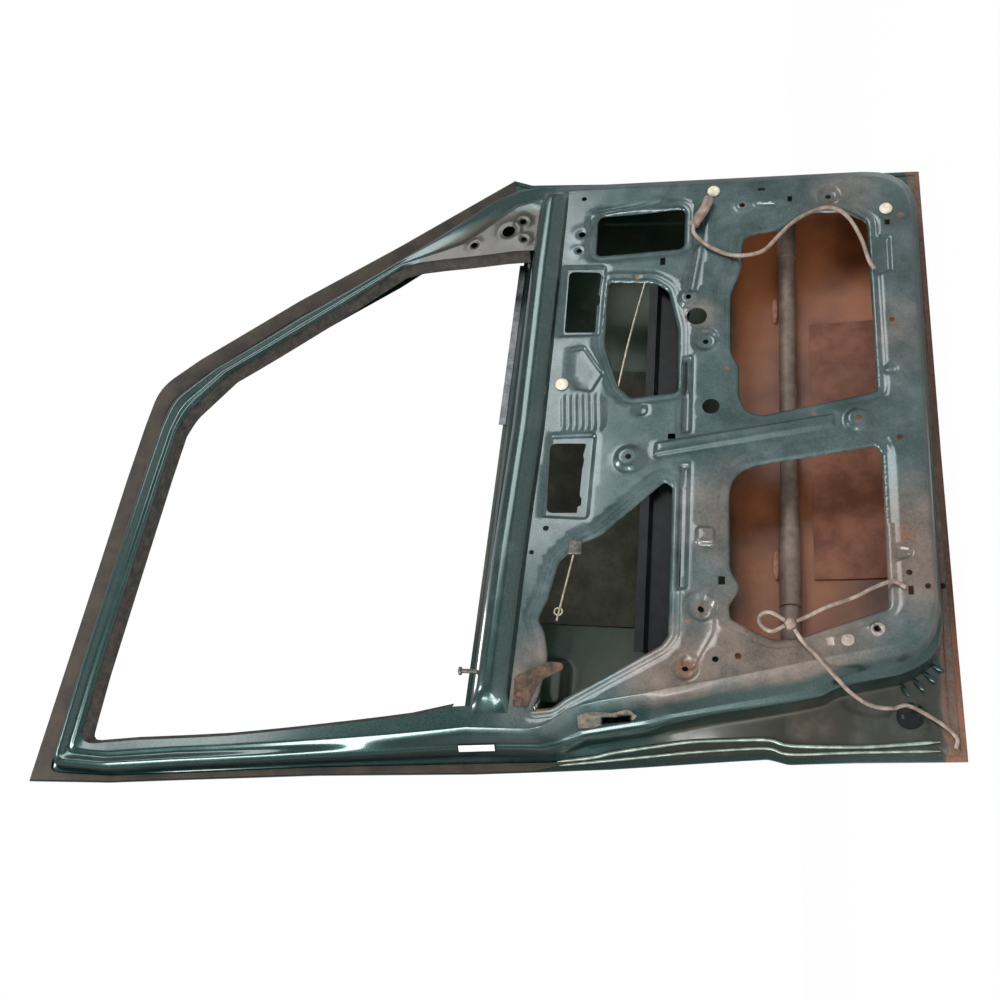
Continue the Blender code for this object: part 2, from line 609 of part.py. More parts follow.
def pressed_mesh(name, outline, holes, folds, free_points):
    # One sheet triangulated between its fold lines; each line keeps its own depth.
    loops = [outline] + holes + folds
    plan_points = []
    spots = []
    edges = []
    for loop in loops:
        first = len(plan_points)
        for plan, place in loop:
            plan_points.append(plan)
            spots.append(place)
        for index in range(len(loop)):
            edges.append((first + index, first + (index + 1) % len(loop)))
    for plan, place in free_points:
        plan_points.append(plan)
        spots.append(place)
    found = delaunay_2d_cdt(plan_points, edges, [], 0, same_point, True)
    cdt_points, cdt_faces, sources = found[0], found[2], found[3]
    outline_plan = [plan for plan, place in outline]
    hole_plans = [[plan for plan, place in hole] for hole in holes]
    mesh = bmesh.new()
    vertices = []
    for point, source in zip(cdt_points, sources):
        if source:
            vertices.append(mesh.verts.new(spots[source[0]]))
            continue
        near = min(range(len(plan_points)), key=lambda i: (plan_points[i] - point).length)
        vertices.append(mesh.verts.new((point.x, spots[near].y, point.y)))
    for face in cdt_faces:
        middle = sum((cdt_points[i] for i in face), Vector((0.0, 0.0))) / len(face)
        if not inside(middle, outline_plan):
            continue
        if any(inside(middle, hole) for hole in hole_plans):
            continue
        mesh.faces.new([vertices[i] for i in face])
    loose = [vertex for vertex in mesh.verts if not vertex.link_faces]
    bmesh.ops.delete(mesh, geom=loose, context="VERTS")
    bmesh.ops.recalc_face_normals(mesh, faces=mesh.faces)
    point_outboard(mesh)
    data = bpy.data.meshes.new(name)
    mesh.to_mesh(data)
    mesh.free()
    return data


def point_outboard(mesh):
    # Turns an open sheet so that its faces look outboard.
    lean = sum(face.normal.y * face.calc_area() for face in mesh.faces)
    if lean < 0:
        bmesh.ops.reverse_faces(mesh, faces=mesh.faces)


def lofted_mesh(name, rows, closed):
    # A sheet of quads between rows that hold the same number of points.
    mesh = bmesh.new()
    grid = [[mesh.verts.new(point) for point in row] for row in rows]
    count = len(rows[0])
    last = count if closed else count - 1
    for lower, upper in zip(grid, grid[1:]):
        for index in range(last):
            after = (index + 1) % count
            mesh.faces.new((lower[index], lower[after], upper[after], upper[index]))
    bmesh.ops.recalc_face_normals(mesh, faces=mesh.faces)
    point_outboard(mesh)
    data = bpy.data.meshes.new(name)
    mesh.to_mesh(data)
    mesh.free()
    return data


def smooth_route(route, spacing):
    # Reads evenly spread points from a curve that passes through every chosen point.
    chosen = [spot(x, z, depth) for x, z, depth in route]
    ends = [chosen[0] * 2 - chosen[1]] + chosen + [chosen[-1] * 2 - chosen[-2]]
    dense = []
    fine = 12
    for index in range(1, len(ends) - 2):
        a, b, c, d = ends[index - 1], ends[index], ends[index + 1], ends[index + 2]
        for step in range(fine):
            t = step / fine
            dense.append(0.5 * (2 * b + (c - a) * t + (2 * a - 5 * b + 4 * c - d) * t * t
                                + (3 * b - a - 3 * c + d) * t ** 3))
    dense.append(chosen[-1])
    total = sum((b - a).length for a, b in zip(dense, dense[1:]))
    count = max(2, round(total / spacing))
    picked = [dense[0]]
    walked = 0.0
    for a, b in zip(dense, dense[1:]):
        walked += (b - a).length
        if walked >= total / count * len(picked) and len(picked) < count:
            picked.append(b)
    picked.append(dense[-1])
    return picked


def tube(name, points, radius, material):
    curve = bpy.data.curves.new(name, "CURVE")
    curve.dimensions = "3D"
    curve.bevel_depth = radius
    curve.bevel_resolution = 2
    curve.use_fill_caps = True
    line = curve.splines.new("POLY")
    line.points.add(len(points) - 1)
    for point, place in zip(line.points, points):
        point.co = (*place, 1.0)
    return add_object(name, curve, material)


def turned(name, profile, centre, axis, material):
    # Profile rows are (radius, height), from the top down on the outer side.
    mesh = bmesh.new()
    vertices = [mesh.verts.new((radius, 0.0, height)) for radius, height in profile]
    for a, b in zip(vertices, vertices[1:]):
        mesh.edges.new((a, b))
    data = bpy.data.meshes.new(name)
    mesh.to_mesh(data)
    mesh.free()
    piece = add_object(name, data, material)
    screw = piece.modifiers.new("Turn", "SCREW")
    screw.axis = "Z"
    screw.steps = turned_sides
    screw.render_steps = turned_sides
    screw.use_merge_vertices = True
    screw.merge_threshold = merge_gap
    piece.location = centre
    piece.rotation_mode = "QUATERNION"
    piece.rotation_quaternion = Vector((0.0, 0.0, 1.0)).rotation_difference(axis)
    return piece


def box(name, size, centre, edge, material):
    mesh = bmesh.new()
    bmesh.ops.create_cube(mesh, size=1.0)
    bmesh.ops.scale(mesh, vec=size, verts=mesh.verts)
    data = bpy.data.meshes.new(name)
    mesh.to_mesh(data)
    mesh.free()
    piece = add_object(name, data, material)
    piece.location = centre
    bevel = piece.modifiers.new("Edges", "BEVEL")
    bevel.width = edge
    bevel.segments = 2
    return piece


def round_cutter(name, centre, axis, radius):
    mesh = bmesh.new()
    bmesh.ops.create_cone(mesh, cap_ends=True, segments=small_sides * 2, radius1=radius,
                          radius2=radius, depth=cut_run)
    return keep_cutter(name, mesh, centre, axis)


def slot_cutter(name, centre, axis, width, height):
    mesh = bmesh.new()
    bmesh.ops.create_cube(mesh, size=1.0)
    bmesh.ops.scale(mesh, vec=(height, width, cut_run), verts=mesh.verts)
    return keep_cutter(name, mesh, centre, axis)


def keep_cutter(name, mesh, centre, axis):
    data = bpy.data.meshes.new(name)
    mesh.to_mesh(data)
    mesh.free()
    cutter = bpy.data.objects.new(name, data)
    cutter.parent = datum
    cutter.location = centre
    cutter.rotation_mode = "QUATERNION"
    cutter.rotation_quaternion = axis.to_track_quat("Z", "X")
    cutter.hide_render = True
    cutter.display_type = "WIRE"
    cutters.objects.link(cutter)
    return cutter


def cut(piece, cutter):
    boolean = piece.modifiers.new(cutter.name, "BOOLEAN")
    boolean.operation = "DIFFERENCE"
    boolean.solver = "EXACT"
    boolean.object = cutter


# Inner panel

def front_wall(x, z):
    # The front shut wall is upright, so that the hinges seat on one flat face.
    above_belt = max(0.0, z - belt_share * frame_height)
    return min(x, hinge_x + above_belt)


def divided(plan):
    # Splits long sides where the frame blends into the body, so that the folds stay parallel.
    points = []
    for index, point in enumerate(plan):
        after = plan[(index + 1) % len(plan)]
        points.append(point)
        middle = (point.y + after.y) / 2
        if middle <= belt_share * frame_height or not belt_fade(middle):
            continue
        parts = math.ceil((after - point).length / longest_side)
        for part in range(1, parts):
            points.append(point + (after - point) * part / parts)
    return points


def fold_line(fold, plan):
    placed = []
    for point in divided(plan):
        x = front_wall(point.x, point.y) if fold in (2, 3, 4) else point.x
        y = fold_depth(fold, point.x, point.y)
        placed.append((point, Vector((x, y, point.y))))
    return placed


def shell_folds():
    ledge_outer = rounded(ledge_outer_shares, round_steps)
    plans = (
        rounded(outer_edge_shares, round_steps),
        rounded(flange_shares, round_steps),
        grown(ledge_outer, wall_draft),
        ledge_outer,
        rounded(ledge_inner_shares, round_steps),
        rounded(fillet_shares, round_steps),
        rounded(crease_shares, round_steps),
        rounded(window_lip_shares, round_steps),
    )
    return [fold_line(fold, plan) for fold, plan in enumerate(plans)]


def lipped_openings():
    holes = []
    folds = []
    for shares in lipped_opening_shares:
        edge = rounded(shares, round_steps)
        holes.append(on_plan(edge, lip_depth))
        folds.append(on_plan(grown(edge, lip_width), 0.0))
    return holes, folds


def sunk_pads():
    holes = []
    folds = []
    for pad_rows, cut_rows in zip(sunk_pad_shares, notched_cut_shares):
        pad = rounded(pad_rows, round_steps)
        folds.append(on_plan(pad, 0.0))
        folds.append(on_plan(grown(pad, -pad_wall), pad_depth))
        holes.append(on_plan(rounded(cut_rows, notch_steps), pad_depth))
    return holes, folds


def pressed_forms():
    folds = []
    for rows, depth in ((groove_shares, groove_depth), (bead_shares, -bead_height),
                        (recess_shares, pad_depth)):
        for shares in rows:
            foot = rounded(shares, round_steps)
            folds.append(on_plan(foot, 0.0))
            folds.append(on_plan(grown(foot, -fold_width), depth))
    return folds


def dishes():
    holes = []
    folds = []
    for x, z, size, way in dish_shares:
        centre = plan_of(spot(x, z, 0.0))
        radius = dish_radius * size
        floor = -dish_height * size * way
        folds.append(on_plan(circle(centre, radius, dish_sides), 0.0))
        folds.append(on_plan(circle(centre, radius * dish_seat_share, dish_sides), floor))
        if size > small_hole_share:
            holes.append(on_plan(circle(centre, bolt_hole, small_sides), floor))
    return holes, folds


def panel_depth(x, z):
    # Depth of the plain inner face, which follows the frame above the belt.
    return fold_depth(6, x, z)


def plain_holes():
    holes = []
    for x, z, size in hole_shares:
        centre = plan_of(spot(x, z, 0.0))
        sides = small_sides if size < small_hole_share else dish_sides
        holes.append(on_plan(circle(centre, hole_radius * size, sides), panel_depth))
    for x, z, width, height in square_hole_shares:
        half = Vector((width * door_length, height * frame_height)) / 2
        centre = plan_of(spot(x, z, 0.0))
        corners = [centre + Vector((half.x * a, half.y * b)) for a, b in
                   ((-1, -1), (1, -1), (1, 1), (-1, 1))]
        holes.append(on_plan(corners, panel_depth))
    for x, z in clip_shares:
        centre = plan_of(spot(x, z, 0.0))
        holes.append(on_plan(circle(centre, clip_shaft + seat_gap * 2, small_sides), 0.0))
    return holes


def inner_panel(folds):
    lip_holes, lip_folds = lipped_openings()
    pad_holes, pad_folds = sunk_pads()
    dish_holes, dish_folds = dishes()
    holes = [folds[7]] + lip_holes + pad_holes + dish_holes + plain_holes()
    lines = folds[1:7] + lip_folds + pad_folds + dish_folds + pressed_forms()
    mesh = pressed_mesh("inner_panel", folds[0], holes, lines, [])
    panel = add_object("inner_panel", mesh, green_paint())
    thicken(panel, panel_sheet, inboard=False)
    for index, height_share in enumerate(hinge_height_shares):
        for side in (-1, 1):
            place = spot(0.0, height_share, hinge_depth)
            place.x = hinge_x
            place.z += side * hinge_bolt_pitch / 2
            name = f"hinge_bolt_cut_{index}_{side + 1}"
            cut(panel, round_cutter(name, place, Vector((1.0, 0.0, 0.0)), hinge_bolt_radius))
    place = spot(0.0, harness_share, hinge_depth)
    place.x = hinge_x
    cut(panel, round_cutter("harness_cut", place, Vector((1.0, 0.0, 0.0)), harness_hole_radius))
    outer_ledge, inner_ledge = ledge_depths(latch_share[0] * door_length)
    latch = spot(latch_share[0], latch_share[1], inner_ledge * latch_depth_share)
    latch_way = Vector((-1.0, -latch_lean_share, 0.0)).normalized()
    cut(panel, slot_cutter("latch_cut", latch, latch_way, latch_slot_width, latch_slot_height))
    return smooth(panel)


# Outer skin

def skin_depth(x, z):
    # Inboard face of the skin: on the flange at its edge, barrelled over the lower body.
    middle_x = (body_front_share + body_rear_share) / 2 * door_length
    half_x = (body_front_share - body_rear_share) / 2 * door_length
    middle_z = (belt_share + body_bottom_share) / 2 * frame_height
    half_z = (belt_share - body_bottom_share) / 2 * frame_height
    across = limit((x - middle_x) / half_x, -1.0, 1.0)
    up = limit((z - middle_z) / half_z, -1.0, 1.0)
    bulge = skin_bulge * (1 - across ** 8) * (1 - up ** 2)
    return flange_depth(z) + panel_sheet + seat_gap + bulge


def skin_edge():
    return grown(rounded(outer_edge_shares, round_steps), hem_clearance)


def hem_rows(edge):
    # The skin turns round the flange and lies back on its inboard face.
    rows = []
    for outline in (edge, grown(edge, -hem_width)):
        rows.append([Vector((point.x, flange_depth(point.y) - seat_gap, point.y)) for point in outline])
    return rows


def outer_skin():
    edge = skin_edge()
    window = rounded(skin_window_shares, round_steps)
    handle = rounded(handle_shares, round_steps)
    handle_middle = sum(handle, Vector((0.0, 0.0))) / len(handle)
    floor = [handle_middle + (point - handle_middle) * handle_floor_share for point in handle]
    grid = []
    for x_share in skin_column_shares:
        for z_share in skin_row_shares:
            point = plan_of(spot(x_share, z_share, 0.0))
            if not inside(point, grown(handle, wall_draft)):
                grid.append(point)
    grid += [plan_of(spot(x_share, z_share, 0.0)) for x_share, z_share in skin_corner_shares]
    mesh = pressed_mesh(
        "outer_skin",
        on_plan(edge, skin_depth),
        [on_plan(window, skin_depth)],
        [on_plan(handle, skin_depth),
         on_plan(floor, lambda x, z: skin_depth(x, z) - handle_depth)],
        on_plan(grid, skin_depth),
    )
    skin = add_object("outer_skin", mesh, skin_paint())
    fold_hem(skin.data, edge)
    thicken(skin, skin_sheet, inboard=False)
    return smooth(skin)


def fold_hem(data, edge):
    mesh = bmesh.new()
    mesh.from_mesh(data)
    mesh.verts.ensure_lookup_table()
    rows = hem_rows(edge)
    rim = []
    for point in edge:
        place = Vector((point.x, skin_depth(point.x, point.y), point.y))
        rim.append(min(mesh.verts, key=lambda vertex: (vertex.co - place).length_squared))
    turned_rows = [[mesh.verts.new(point) for point in row] for row in rows]
    below = rim
    for row in turned_rows:
        for index in range(len(row)):
            after = (index + 1) % len(row)
            mesh.faces.new((below[index], below[after], row[after], row[index]))
        below = row
    bmesh.ops.recalc_face_normals(mesh, faces=mesh.faces)
    widest = max(mesh.faces, key=lambda face: face.calc_area())
    if widest.normal.y < 0:
        bmesh.ops.reverse_faces(mesh, faces=mesh.faces)
    mesh.to_mesh(data)
    mesh.free()


def frame_seal_strip():
    # Flat carrier strip on the frame's outer flange, from the mirror corner to the rear edge.
    outer = grown(rounded(outer_edge_shares, round_steps), -strip_outer_margin)
    inner = grown(rounded(flange_shares, round_steps), strip_inner_margin)

    def keeps(point):
        low_share = strip_end_share if point.x < middle_of_body() else strip_front_share
        return point.y > low_share * frame_height

    outline = [point for point in outer if keeps(point)]
    outline += [point for point in reversed(inner) if keeps(point)]
    back = seat_gap * 2 + skin_sheet
    placed = on_plan(outline, lambda x, z: flange_depth(z) - back)
    strip = add_object("frame_seal_strip", pressed_mesh("frame_seal_strip", placed, [], [], []),
                       primer_strip())
    return thicken(strip, strip_sheet, inboard=True)


# Belt

def belt_rail_inner():
    rows = []
    for height_share, bulge_share in rail_section_shares:
        row = []
        for x_share, low_share, high_share in belt_rail_shares:
            z_share = low_share + (high_share - low_share) * height_share
            row.append(spot(x_share, z_share, -seat_gap - rail_bulge * bulge_share))
        rows.append(row)
    rail = add_object("belt_rail_inner", lofted_mesh("belt_rail_inner", rows, False), green_paint())
    thicken(rail, rail_sheet, inboard=True)
    return smooth(rail, rail_degrees)


def skin_belt_line(x):
    # Height of the skin's upper edge below the window.
    rear, front = skin_window_shares[0], skin_window_shares[-2]
    way = (x / door_length - rear[0]) / (front[0] - rear[0])
    return (rear[1] + (front[1] - rear[1]) * way) * frame_height


def belt_rail_outer():
    start, end = belt_outer_span_share
    steps = 8
    rows = []
    for height_share, rise_share in belt_outer_section_shares:
        row = []
        for step in range(steps + 1):
            x = (start + (end - start) * step / steps) * door_length
            z = skin_belt_line(x) - belt_outer_drop - belt_outer_height * (1 - height_share)
            row.append(Vector((x, skin_depth(x, z) - skin_gap - belt_outer_rise * rise_share, z)))
        rows.append(row)
    rail = add_object("belt_rail_outer", lofted_mesh("belt_rail_outer", rows, False), skin_paint())
    thicken(rail, rail_sheet, inboard=True)
    return rail


def belt_bright_strip():
    # Thin strip clipped along the front part of the belt, over the outer rail's upper edge.
    start, end = bright_span_share
    steps = 6
    rows = []
    for height_share in (0.0, 1.0):
        row = []
        for step in range(steps + 1):
            x = (start + (end - start) * step / steps) * door_length
            z = skin_belt_line(x) - belt_outer_drop + rail_sheet + seat_gap + bright_height * height_share
            row.append(Vector((x, flange_depth(z) + panel_sheet - seat_gap, z)))
        rows.append(row)
    strip = add_object("belt_bright_strip", lofted_mesh("belt_bright_strip", rows, False),
                       bright_metal())
    return thicken(strip, bright_sheet, inboard=True)


def glass_run_channel():
    # Black channel round three sides of the window, tucked behind the panel's lip.
    lip = divided(rounded(window_lip_shares, round_steps))

    def keeps(point):
        low_share = run_rear_share if point.x < middle_of_body() else run_front_share
        return point.y > low_share * frame_height

    back = grown(lip, run_cover)
    edge = grown(lip, -run_spread)
    rows = [[], [], []]
    for index, point in enumerate(lip):
        if not keeps(point):
            continue
        y = fold_depth(7, point.x, point.y) + panel_sheet + seat_gap
        rows[0].append(Vector((back[index].x, y, back[index].y)))
        rows[1].append(Vector((point.x, y, point.y)))
        rows[2].append(Vector((edge[index].x, y + run_depth, edge[index].y)))
    channel = add_object("glass_run_channel", lofted_mesh("glass_run_channel", rows, False),
                         black_rubber())
    return thicken(channel, run_sheet, inboard=False)


# Cavity pieces

def beam_depth():
    # The beam is straight, and keeps its gap at the end where the skin comes nearest.
    z = beam_height_share * frame_height
    nearest = min(skin_depth(share * door_length, z) for share in beam_span_share)
    return nearest - beam_skin_gap - beam_radius


def impact_beam():
    points = [spot(share, beam_height_share, beam_depth()) for share in beam_span_share]
    beam = tube("impact_beam", points, beam_radius, beam_steel())
    beam.data.bevel_resolution = 4
    return beam


def beam_bracket(name, station_shares):
    # A foot on the shut face shelf that closes into a trough on the beam's inboard side.
    trough = beam_radius + seat_gap
    beam_z = beam_height_share * frame_height
    rows = []
    for station, x_share in enumerate(station_shares):
        row = []
        for step in range(bracket_steps + 1):
            x = x_share * door_length
            way = step / bracket_steps * 2 - 1
            angle = math.pi / 2 * way
            if station < foot_stations:
                z = beam_z + bracket_half_height * way
                row.append(Vector((x, shelf_back(x, z) + bracket_clearance + bracket_sheet, z)))
            else:
                z = beam_z + trough * math.sin(angle)
                row.append(Vector((x, beam_depth() - trough * math.cos(angle), z)))
        rows.append(row)
    bracket = add_object(name, lofted_mesh(name, rows, False), beam_steel())
    thicken(bracket, bracket_sheet, inboard=True)
    return smooth(bracket, rail_degrees)


def crossing_x(line, z, front):
    # Where a fold line passes the height z, on its front or its rear side.
    found = []
    for index, (plan, place) in enumerate(line):
        before = line[index - 1][1]
        low, high = min(before.z, place.z), max(before.z, place.z)
        if low <= z <= high and high > low:
            way = (z - before.z) / (place.z - before.z)
            found.append(before.x + (place.x - before.x) * way)
    return max(found) if front else min(found)


def shelf_back(x, z):
    # Back of the shut face shelf between its two folds, at the rear or the front edge.
    front = x > middle_of_body()
    inner = crossing_x(shell_lines[2], z, front)
    outer = crossing_x(shell_lines[1], z, front)
    way = (x - inner) / (outer - inner)
    return hem_depth - shelf_rise * (1 - way) + panel_sheet


def middle_of_body():
    return (body_front_share + body_rear_share) / 2 * door_length


def beam_sleeve():
    start, end = sleeve_span_share
    length = (end - start) * door_length
    inner = beam_radius + seat_gap
    outer = inner + sleeve_wall
    profile = ((inner, length), (outer, length), (outer, 0.0), (inner, 0.0), (inner, length))
    centre = spot(start, beam_height_share, beam_depth())
    return turned("beam_sleeve", profile, centre, Vector((1.0, 0.0, 0.0)), beam_steel())


def window_guide_rail():
    # Black hat rail behind the two upper cut-outs, on the back of the groove.
    start, end = guide_span_share
    foot = guide_foot_share * frame_height
    y = groove_depth + panel_sheet + seat_gap
    section = (
        (0.0, 0.0), (guide_flange, 0.0), (guide_flange + fold_width, guide_crown),
        (guide_height - guide_flange - fold_width, guide_crown), (guide_height - guide_flange, 0.0),
        (guide_height, 0.0),
    )
    rows = []
    for height, crown in section:
        rows.append([Vector((x_share * door_length, y + crown, foot + height))
                     for x_share in (start, end)])
    rail = add_object("window_guide_rail", lofted_mesh("window_guide_rail", rows, False),
                      black_steel())
    return thicken(rail, guide_sheet, inboard=False)


def skin_pad(name, span_shares):
    (start, end), (low, high) = span_shares
    columns, levels = 8, 4
    rows = []
    for level in range(levels + 1):
        z = (low + (high - low) * level / levels) * frame_height
        row = []
        for column in range(columns + 1):
            x = (start + (end - start) * column / columns) * door_length
            row.append(Vector((x, skin_depth(x, z) - skin_gap, z)))
        rows.append(row)
    pad = add_object(name, lofted_mesh(name, rows, False), bitumen_pad())
    return thicken(pad, pad_sheet, inboard=True)


def mastic_pads():
    for index, x_share in enumerate(mastic_shares):
        x = x_share * door_length
        z = beam_height_share * frame_height + beam_radius + mastic_height / 2 + seat_gap
        y = skin_depth(x, z) - mastic_thickness / 2 - skin_gap
        mesh = bmesh.new()
        bmesh.ops.create_uvsphere(mesh, u_segments=turned_sides, v_segments=ball_rings, radius=0.5)
        bmesh.ops.scale(mesh, vec=(mastic_length, mastic_thickness, mastic_height),
                        verts=mesh.verts)
        name = f"mastic_pad_{index + 1}"
        data = bpy.data.meshes.new(name)
        mesh.to_mesh(data)
        mesh.free()
        pad = add_object(name, data, mastic())
        pad.location = (x, y, z)
        pad.data.shade_smooth()


# Seats and small pieces

def hinge_plates():
    for name, height_share in zip(("hinge_plate_upper", "hinge_plate_lower"), hinge_height_shares):
        centre = spot(0.0, height_share, hinge_depth)
        centre.x = hinge_x - panel_sheet - seat_gap - hinge_plate / 2
        size = (hinge_plate, hinge_plate_width, hinge_plate_height)
        plate = box(name, size, centre, hinge_plate_edge, rusty_steel())
        for side in (-1, 1):
            hole = centre.copy()
            hole.z += side * hinge_bolt_pitch / 2
            cut(plate, round_cutter(f"{name}_cut_{side + 1}", hole, Vector((1.0, 0.0, 0.0)),
                                    hinge_bolt_radius))


def latch_bracket():
    outline = on_plan(rounded(bracket_shares, notch_steps), -seat_gap)
    hole = on_plan(circle(plan_of(spot(*bracket_hole_share, 0.0)), bolt_hole, small_sides), -seat_gap)
    bracket = add_object("latch_bracket", pressed_mesh("latch_bracket", outline, [hole], [], []),
                         rusty_steel())
    return thicken(bracket, bracket_plate, inboard=True)


def trim_clips():
    profile = [(clip_radius * width, clip_head * height) for width, height in clip_profile_shares]
    profile += [(clip_shaft, 0.0), (clip_shaft, -clip_reach * clip_taper_share),
                (clip_shaft * clip_tip_share, -clip_reach), (0.0, -clip_reach)]
    for index, (x_share, z_share) in enumerate(clip_shares):
        centre = spot(x_share, z_share, -seat_gap)
        clip = turned(f"trim_clip_{index + 1}", profile, centre, Vector((0.0, -1.0, 0.0)), white_clip())
        clip.data.shade_smooth()


def belt_stud():
    x_share, z_share = stud_share
    centre = spot(x_share, z_share, panel_sheet + seat_gap + stud_radius)
    neck = stud_length - stud_head
    profile = (
        (0.0, stud_length), (stud_head_radius * stud_dome_share, stud_length),
        (stud_head_radius, neck + stud_head * stud_dome_share), (stud_head_radius, neck),
        (stud_radius, neck), (stud_radius, 0.0), (0.0, 0.0),
    )
    return turned("belt_stud", profile, centre, Vector((0.0, 0.0, 1.0)), rod_metal())


def rods():
    lock_y = lip_depth + panel_sheet + seat_gap + rod_radius
    rail_top = guide_foot_share * frame_height + guide_height
    lock = []
    for x_share, rise_share in lock_rod_shares:
        place = spot(x_share, rise_share, lock_y)
        place.z += rail_top + seat_gap + rod_radius
        lock.append(place)
    tube("lock_rod", lock, rod_radius, rod_metal())
    handle_y = -seat_gap - rod_clip_depth / 2
    handle = [spot(x, z, handle_y) for x, z in handle_rod_shares]
    tube("handle_rod", handle, rod_radius, rod_metal())
    centre = spot(*rod_clip_share, handle_y)
    box("rod_clip", (rod_clip_length, rod_clip_depth, rod_clip_height), centre, rod_clip_edge,
        rod_metal())


def cords():
    tube("upper_lead", smooth_route(upper_lead_route, lead_spacing), lead_radius, dusty_cord())
    tube("lead_wrap", smooth_route(lead_wrap_route, wrap_spacing), wrap_radius, dusty_cord())
    for name, route in (("front_strap", front_strap_route), ("loop_strap", loop_strap_route),
                        ("rear_strap", rear_strap_route)):
        tube(name, smooth_route(route, strap_spacing), strap_radius, dusty_cord())
    mesh = bmesh.new()
    bmesh.ops.create_uvsphere(mesh, u_segments=turned_sides, v_segments=ball_rings, radius=knot_radius)
    data = bpy.data.meshes.new("strap_knot")
    mesh.to_mesh(data)
    mesh.free()
    knot = add_object("strap_knot", data, dusty_cord())
    knot.location = spot(*knot_share, knot_depth)


shell_lines = shell_folds()
inner_panel(shell_lines)
outer_skin()
frame_seal_strip()
belt_rail_inner()
belt_rail_outer()
belt_bright_strip()
glass_run_channel()
impact_beam()
beam_bracket("beam_bracket_rear", rear_bracket_share)
beam_bracket("beam_bracket_front", front_bracket_share)
beam_sleeve()
window_guide_rail()
skin_pad("skin_pad_upper", skin_pad_shares[0])
skin_pad("skin_pad_lower", skin_pad_shares[1])
mastic_pads()
hinge_plates()
latch_bracket()
trim_clips()
belt_stud()
rods()
cords()
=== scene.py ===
# Looks of a stripped left front car door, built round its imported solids.
import math

import bmesh
import bpy
import numpy as np
from mathutils import Matrix, Vector
from mathutils.bvhtree import BVHTree
from mathutils.geometry import delaunay_2d_cdt


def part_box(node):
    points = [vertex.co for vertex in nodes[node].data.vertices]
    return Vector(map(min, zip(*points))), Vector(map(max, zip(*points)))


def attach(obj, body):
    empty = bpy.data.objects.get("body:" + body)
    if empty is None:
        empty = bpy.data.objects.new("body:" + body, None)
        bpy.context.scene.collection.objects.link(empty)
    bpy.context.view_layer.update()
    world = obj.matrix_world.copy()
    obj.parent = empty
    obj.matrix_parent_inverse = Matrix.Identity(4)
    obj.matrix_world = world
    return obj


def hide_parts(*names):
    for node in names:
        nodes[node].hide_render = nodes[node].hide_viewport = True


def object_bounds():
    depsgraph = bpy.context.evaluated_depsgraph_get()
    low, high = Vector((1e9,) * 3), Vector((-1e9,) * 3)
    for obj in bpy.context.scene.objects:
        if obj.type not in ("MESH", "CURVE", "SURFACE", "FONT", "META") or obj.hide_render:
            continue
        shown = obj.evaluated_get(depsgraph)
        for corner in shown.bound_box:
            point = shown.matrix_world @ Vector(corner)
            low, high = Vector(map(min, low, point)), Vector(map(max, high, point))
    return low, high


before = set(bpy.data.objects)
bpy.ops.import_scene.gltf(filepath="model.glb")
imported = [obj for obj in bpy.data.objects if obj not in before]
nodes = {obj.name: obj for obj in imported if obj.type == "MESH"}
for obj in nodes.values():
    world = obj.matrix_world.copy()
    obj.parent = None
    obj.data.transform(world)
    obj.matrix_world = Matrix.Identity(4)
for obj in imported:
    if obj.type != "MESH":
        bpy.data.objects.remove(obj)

cadLow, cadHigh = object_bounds()
scene = bpy.context.scene
print("frame loaded")

# The door's plan uses shares of 0.95 m, forward and up; depth runs outboard in metres.
doorScale = 0.95
datum = np.array((-0.0057, -0.038, -0.228))


def spot(x, z, depth=0.0):
    return Vector((x * doorScale + datum[0], depth + datum[1], z * doorScale + datum[2]))


# Camera, at the photograph's place, with the front of the door up in the picture
camera = {
    "place": (-1.4003, -1.6530, -0.2280),
    "right": (0.08734925, 0.17572303, -0.98055674),
    "up": (0.88815463, -0.45953335, -0.00323382),
    "lens": 48.132, "sensor": 36.0, "picture": 1000,  # millimetres, millimetres, pixels
}


def makeCamera(facts):
    data = bpy.data.cameras.new("camera")
    data.lens = facts["lens"]
    data.sensor_width = facts["sensor"]
    data.dof.use_dof = False
    data.clip_start = 0.01
    eye = bpy.data.objects.new("camera", data)
    right = Vector(facts["right"]).normalized()
    up = Vector(facts["up"])
    up = (up - right * up.dot(right)).normalized()
    turn = Matrix((right, up, right.cross(up))).transposed()
    eye.matrix_world = Matrix.Translation(facts["place"]) @ turn.to_4x4()
    scene.collection.objects.link(eye)
    scene.camera = eye


makeCamera(camera)
scene.view_settings.view_transform = "Standard"


# Colours and shader nodes

def hexColour(code):
    parts = [int(code[i:i + 2], 16) / 255 for i in (1, 3, 5)]
    linear = [p / 12.92 if p <= 0.04045 else ((p + 0.055) / 1.055) ** 2.4 for p in parts]
    return (*linear, 1.0)


def addNode(tree, kind, inputs=None, output=0, **settings):
    # Adds one node and gives back an output. An input is a value, or the socket it is linked to.
    node = tree.nodes.new("ShaderNode" + kind)
    for key, value in settings.items():
        setattr(node, key, value)
    for key, value in (inputs or {}).items():
        if isinstance(value, bpy.types.NodeSocket):
            tree.links.new(value, node.inputs[key])
        else:
            node.inputs[key].default_value = value
    return node.outputs[output] if len(node.outputs) else None


def newMaterial(name):
    # Gives back the material, its emptied tree and the place on the object
    material = bpy.data.materials.new(name)
    material.use_nodes = True
    tree = material.node_tree
    tree.nodes.clear()
    return material, tree, addNode(tree, "TexCoord", output="Object")


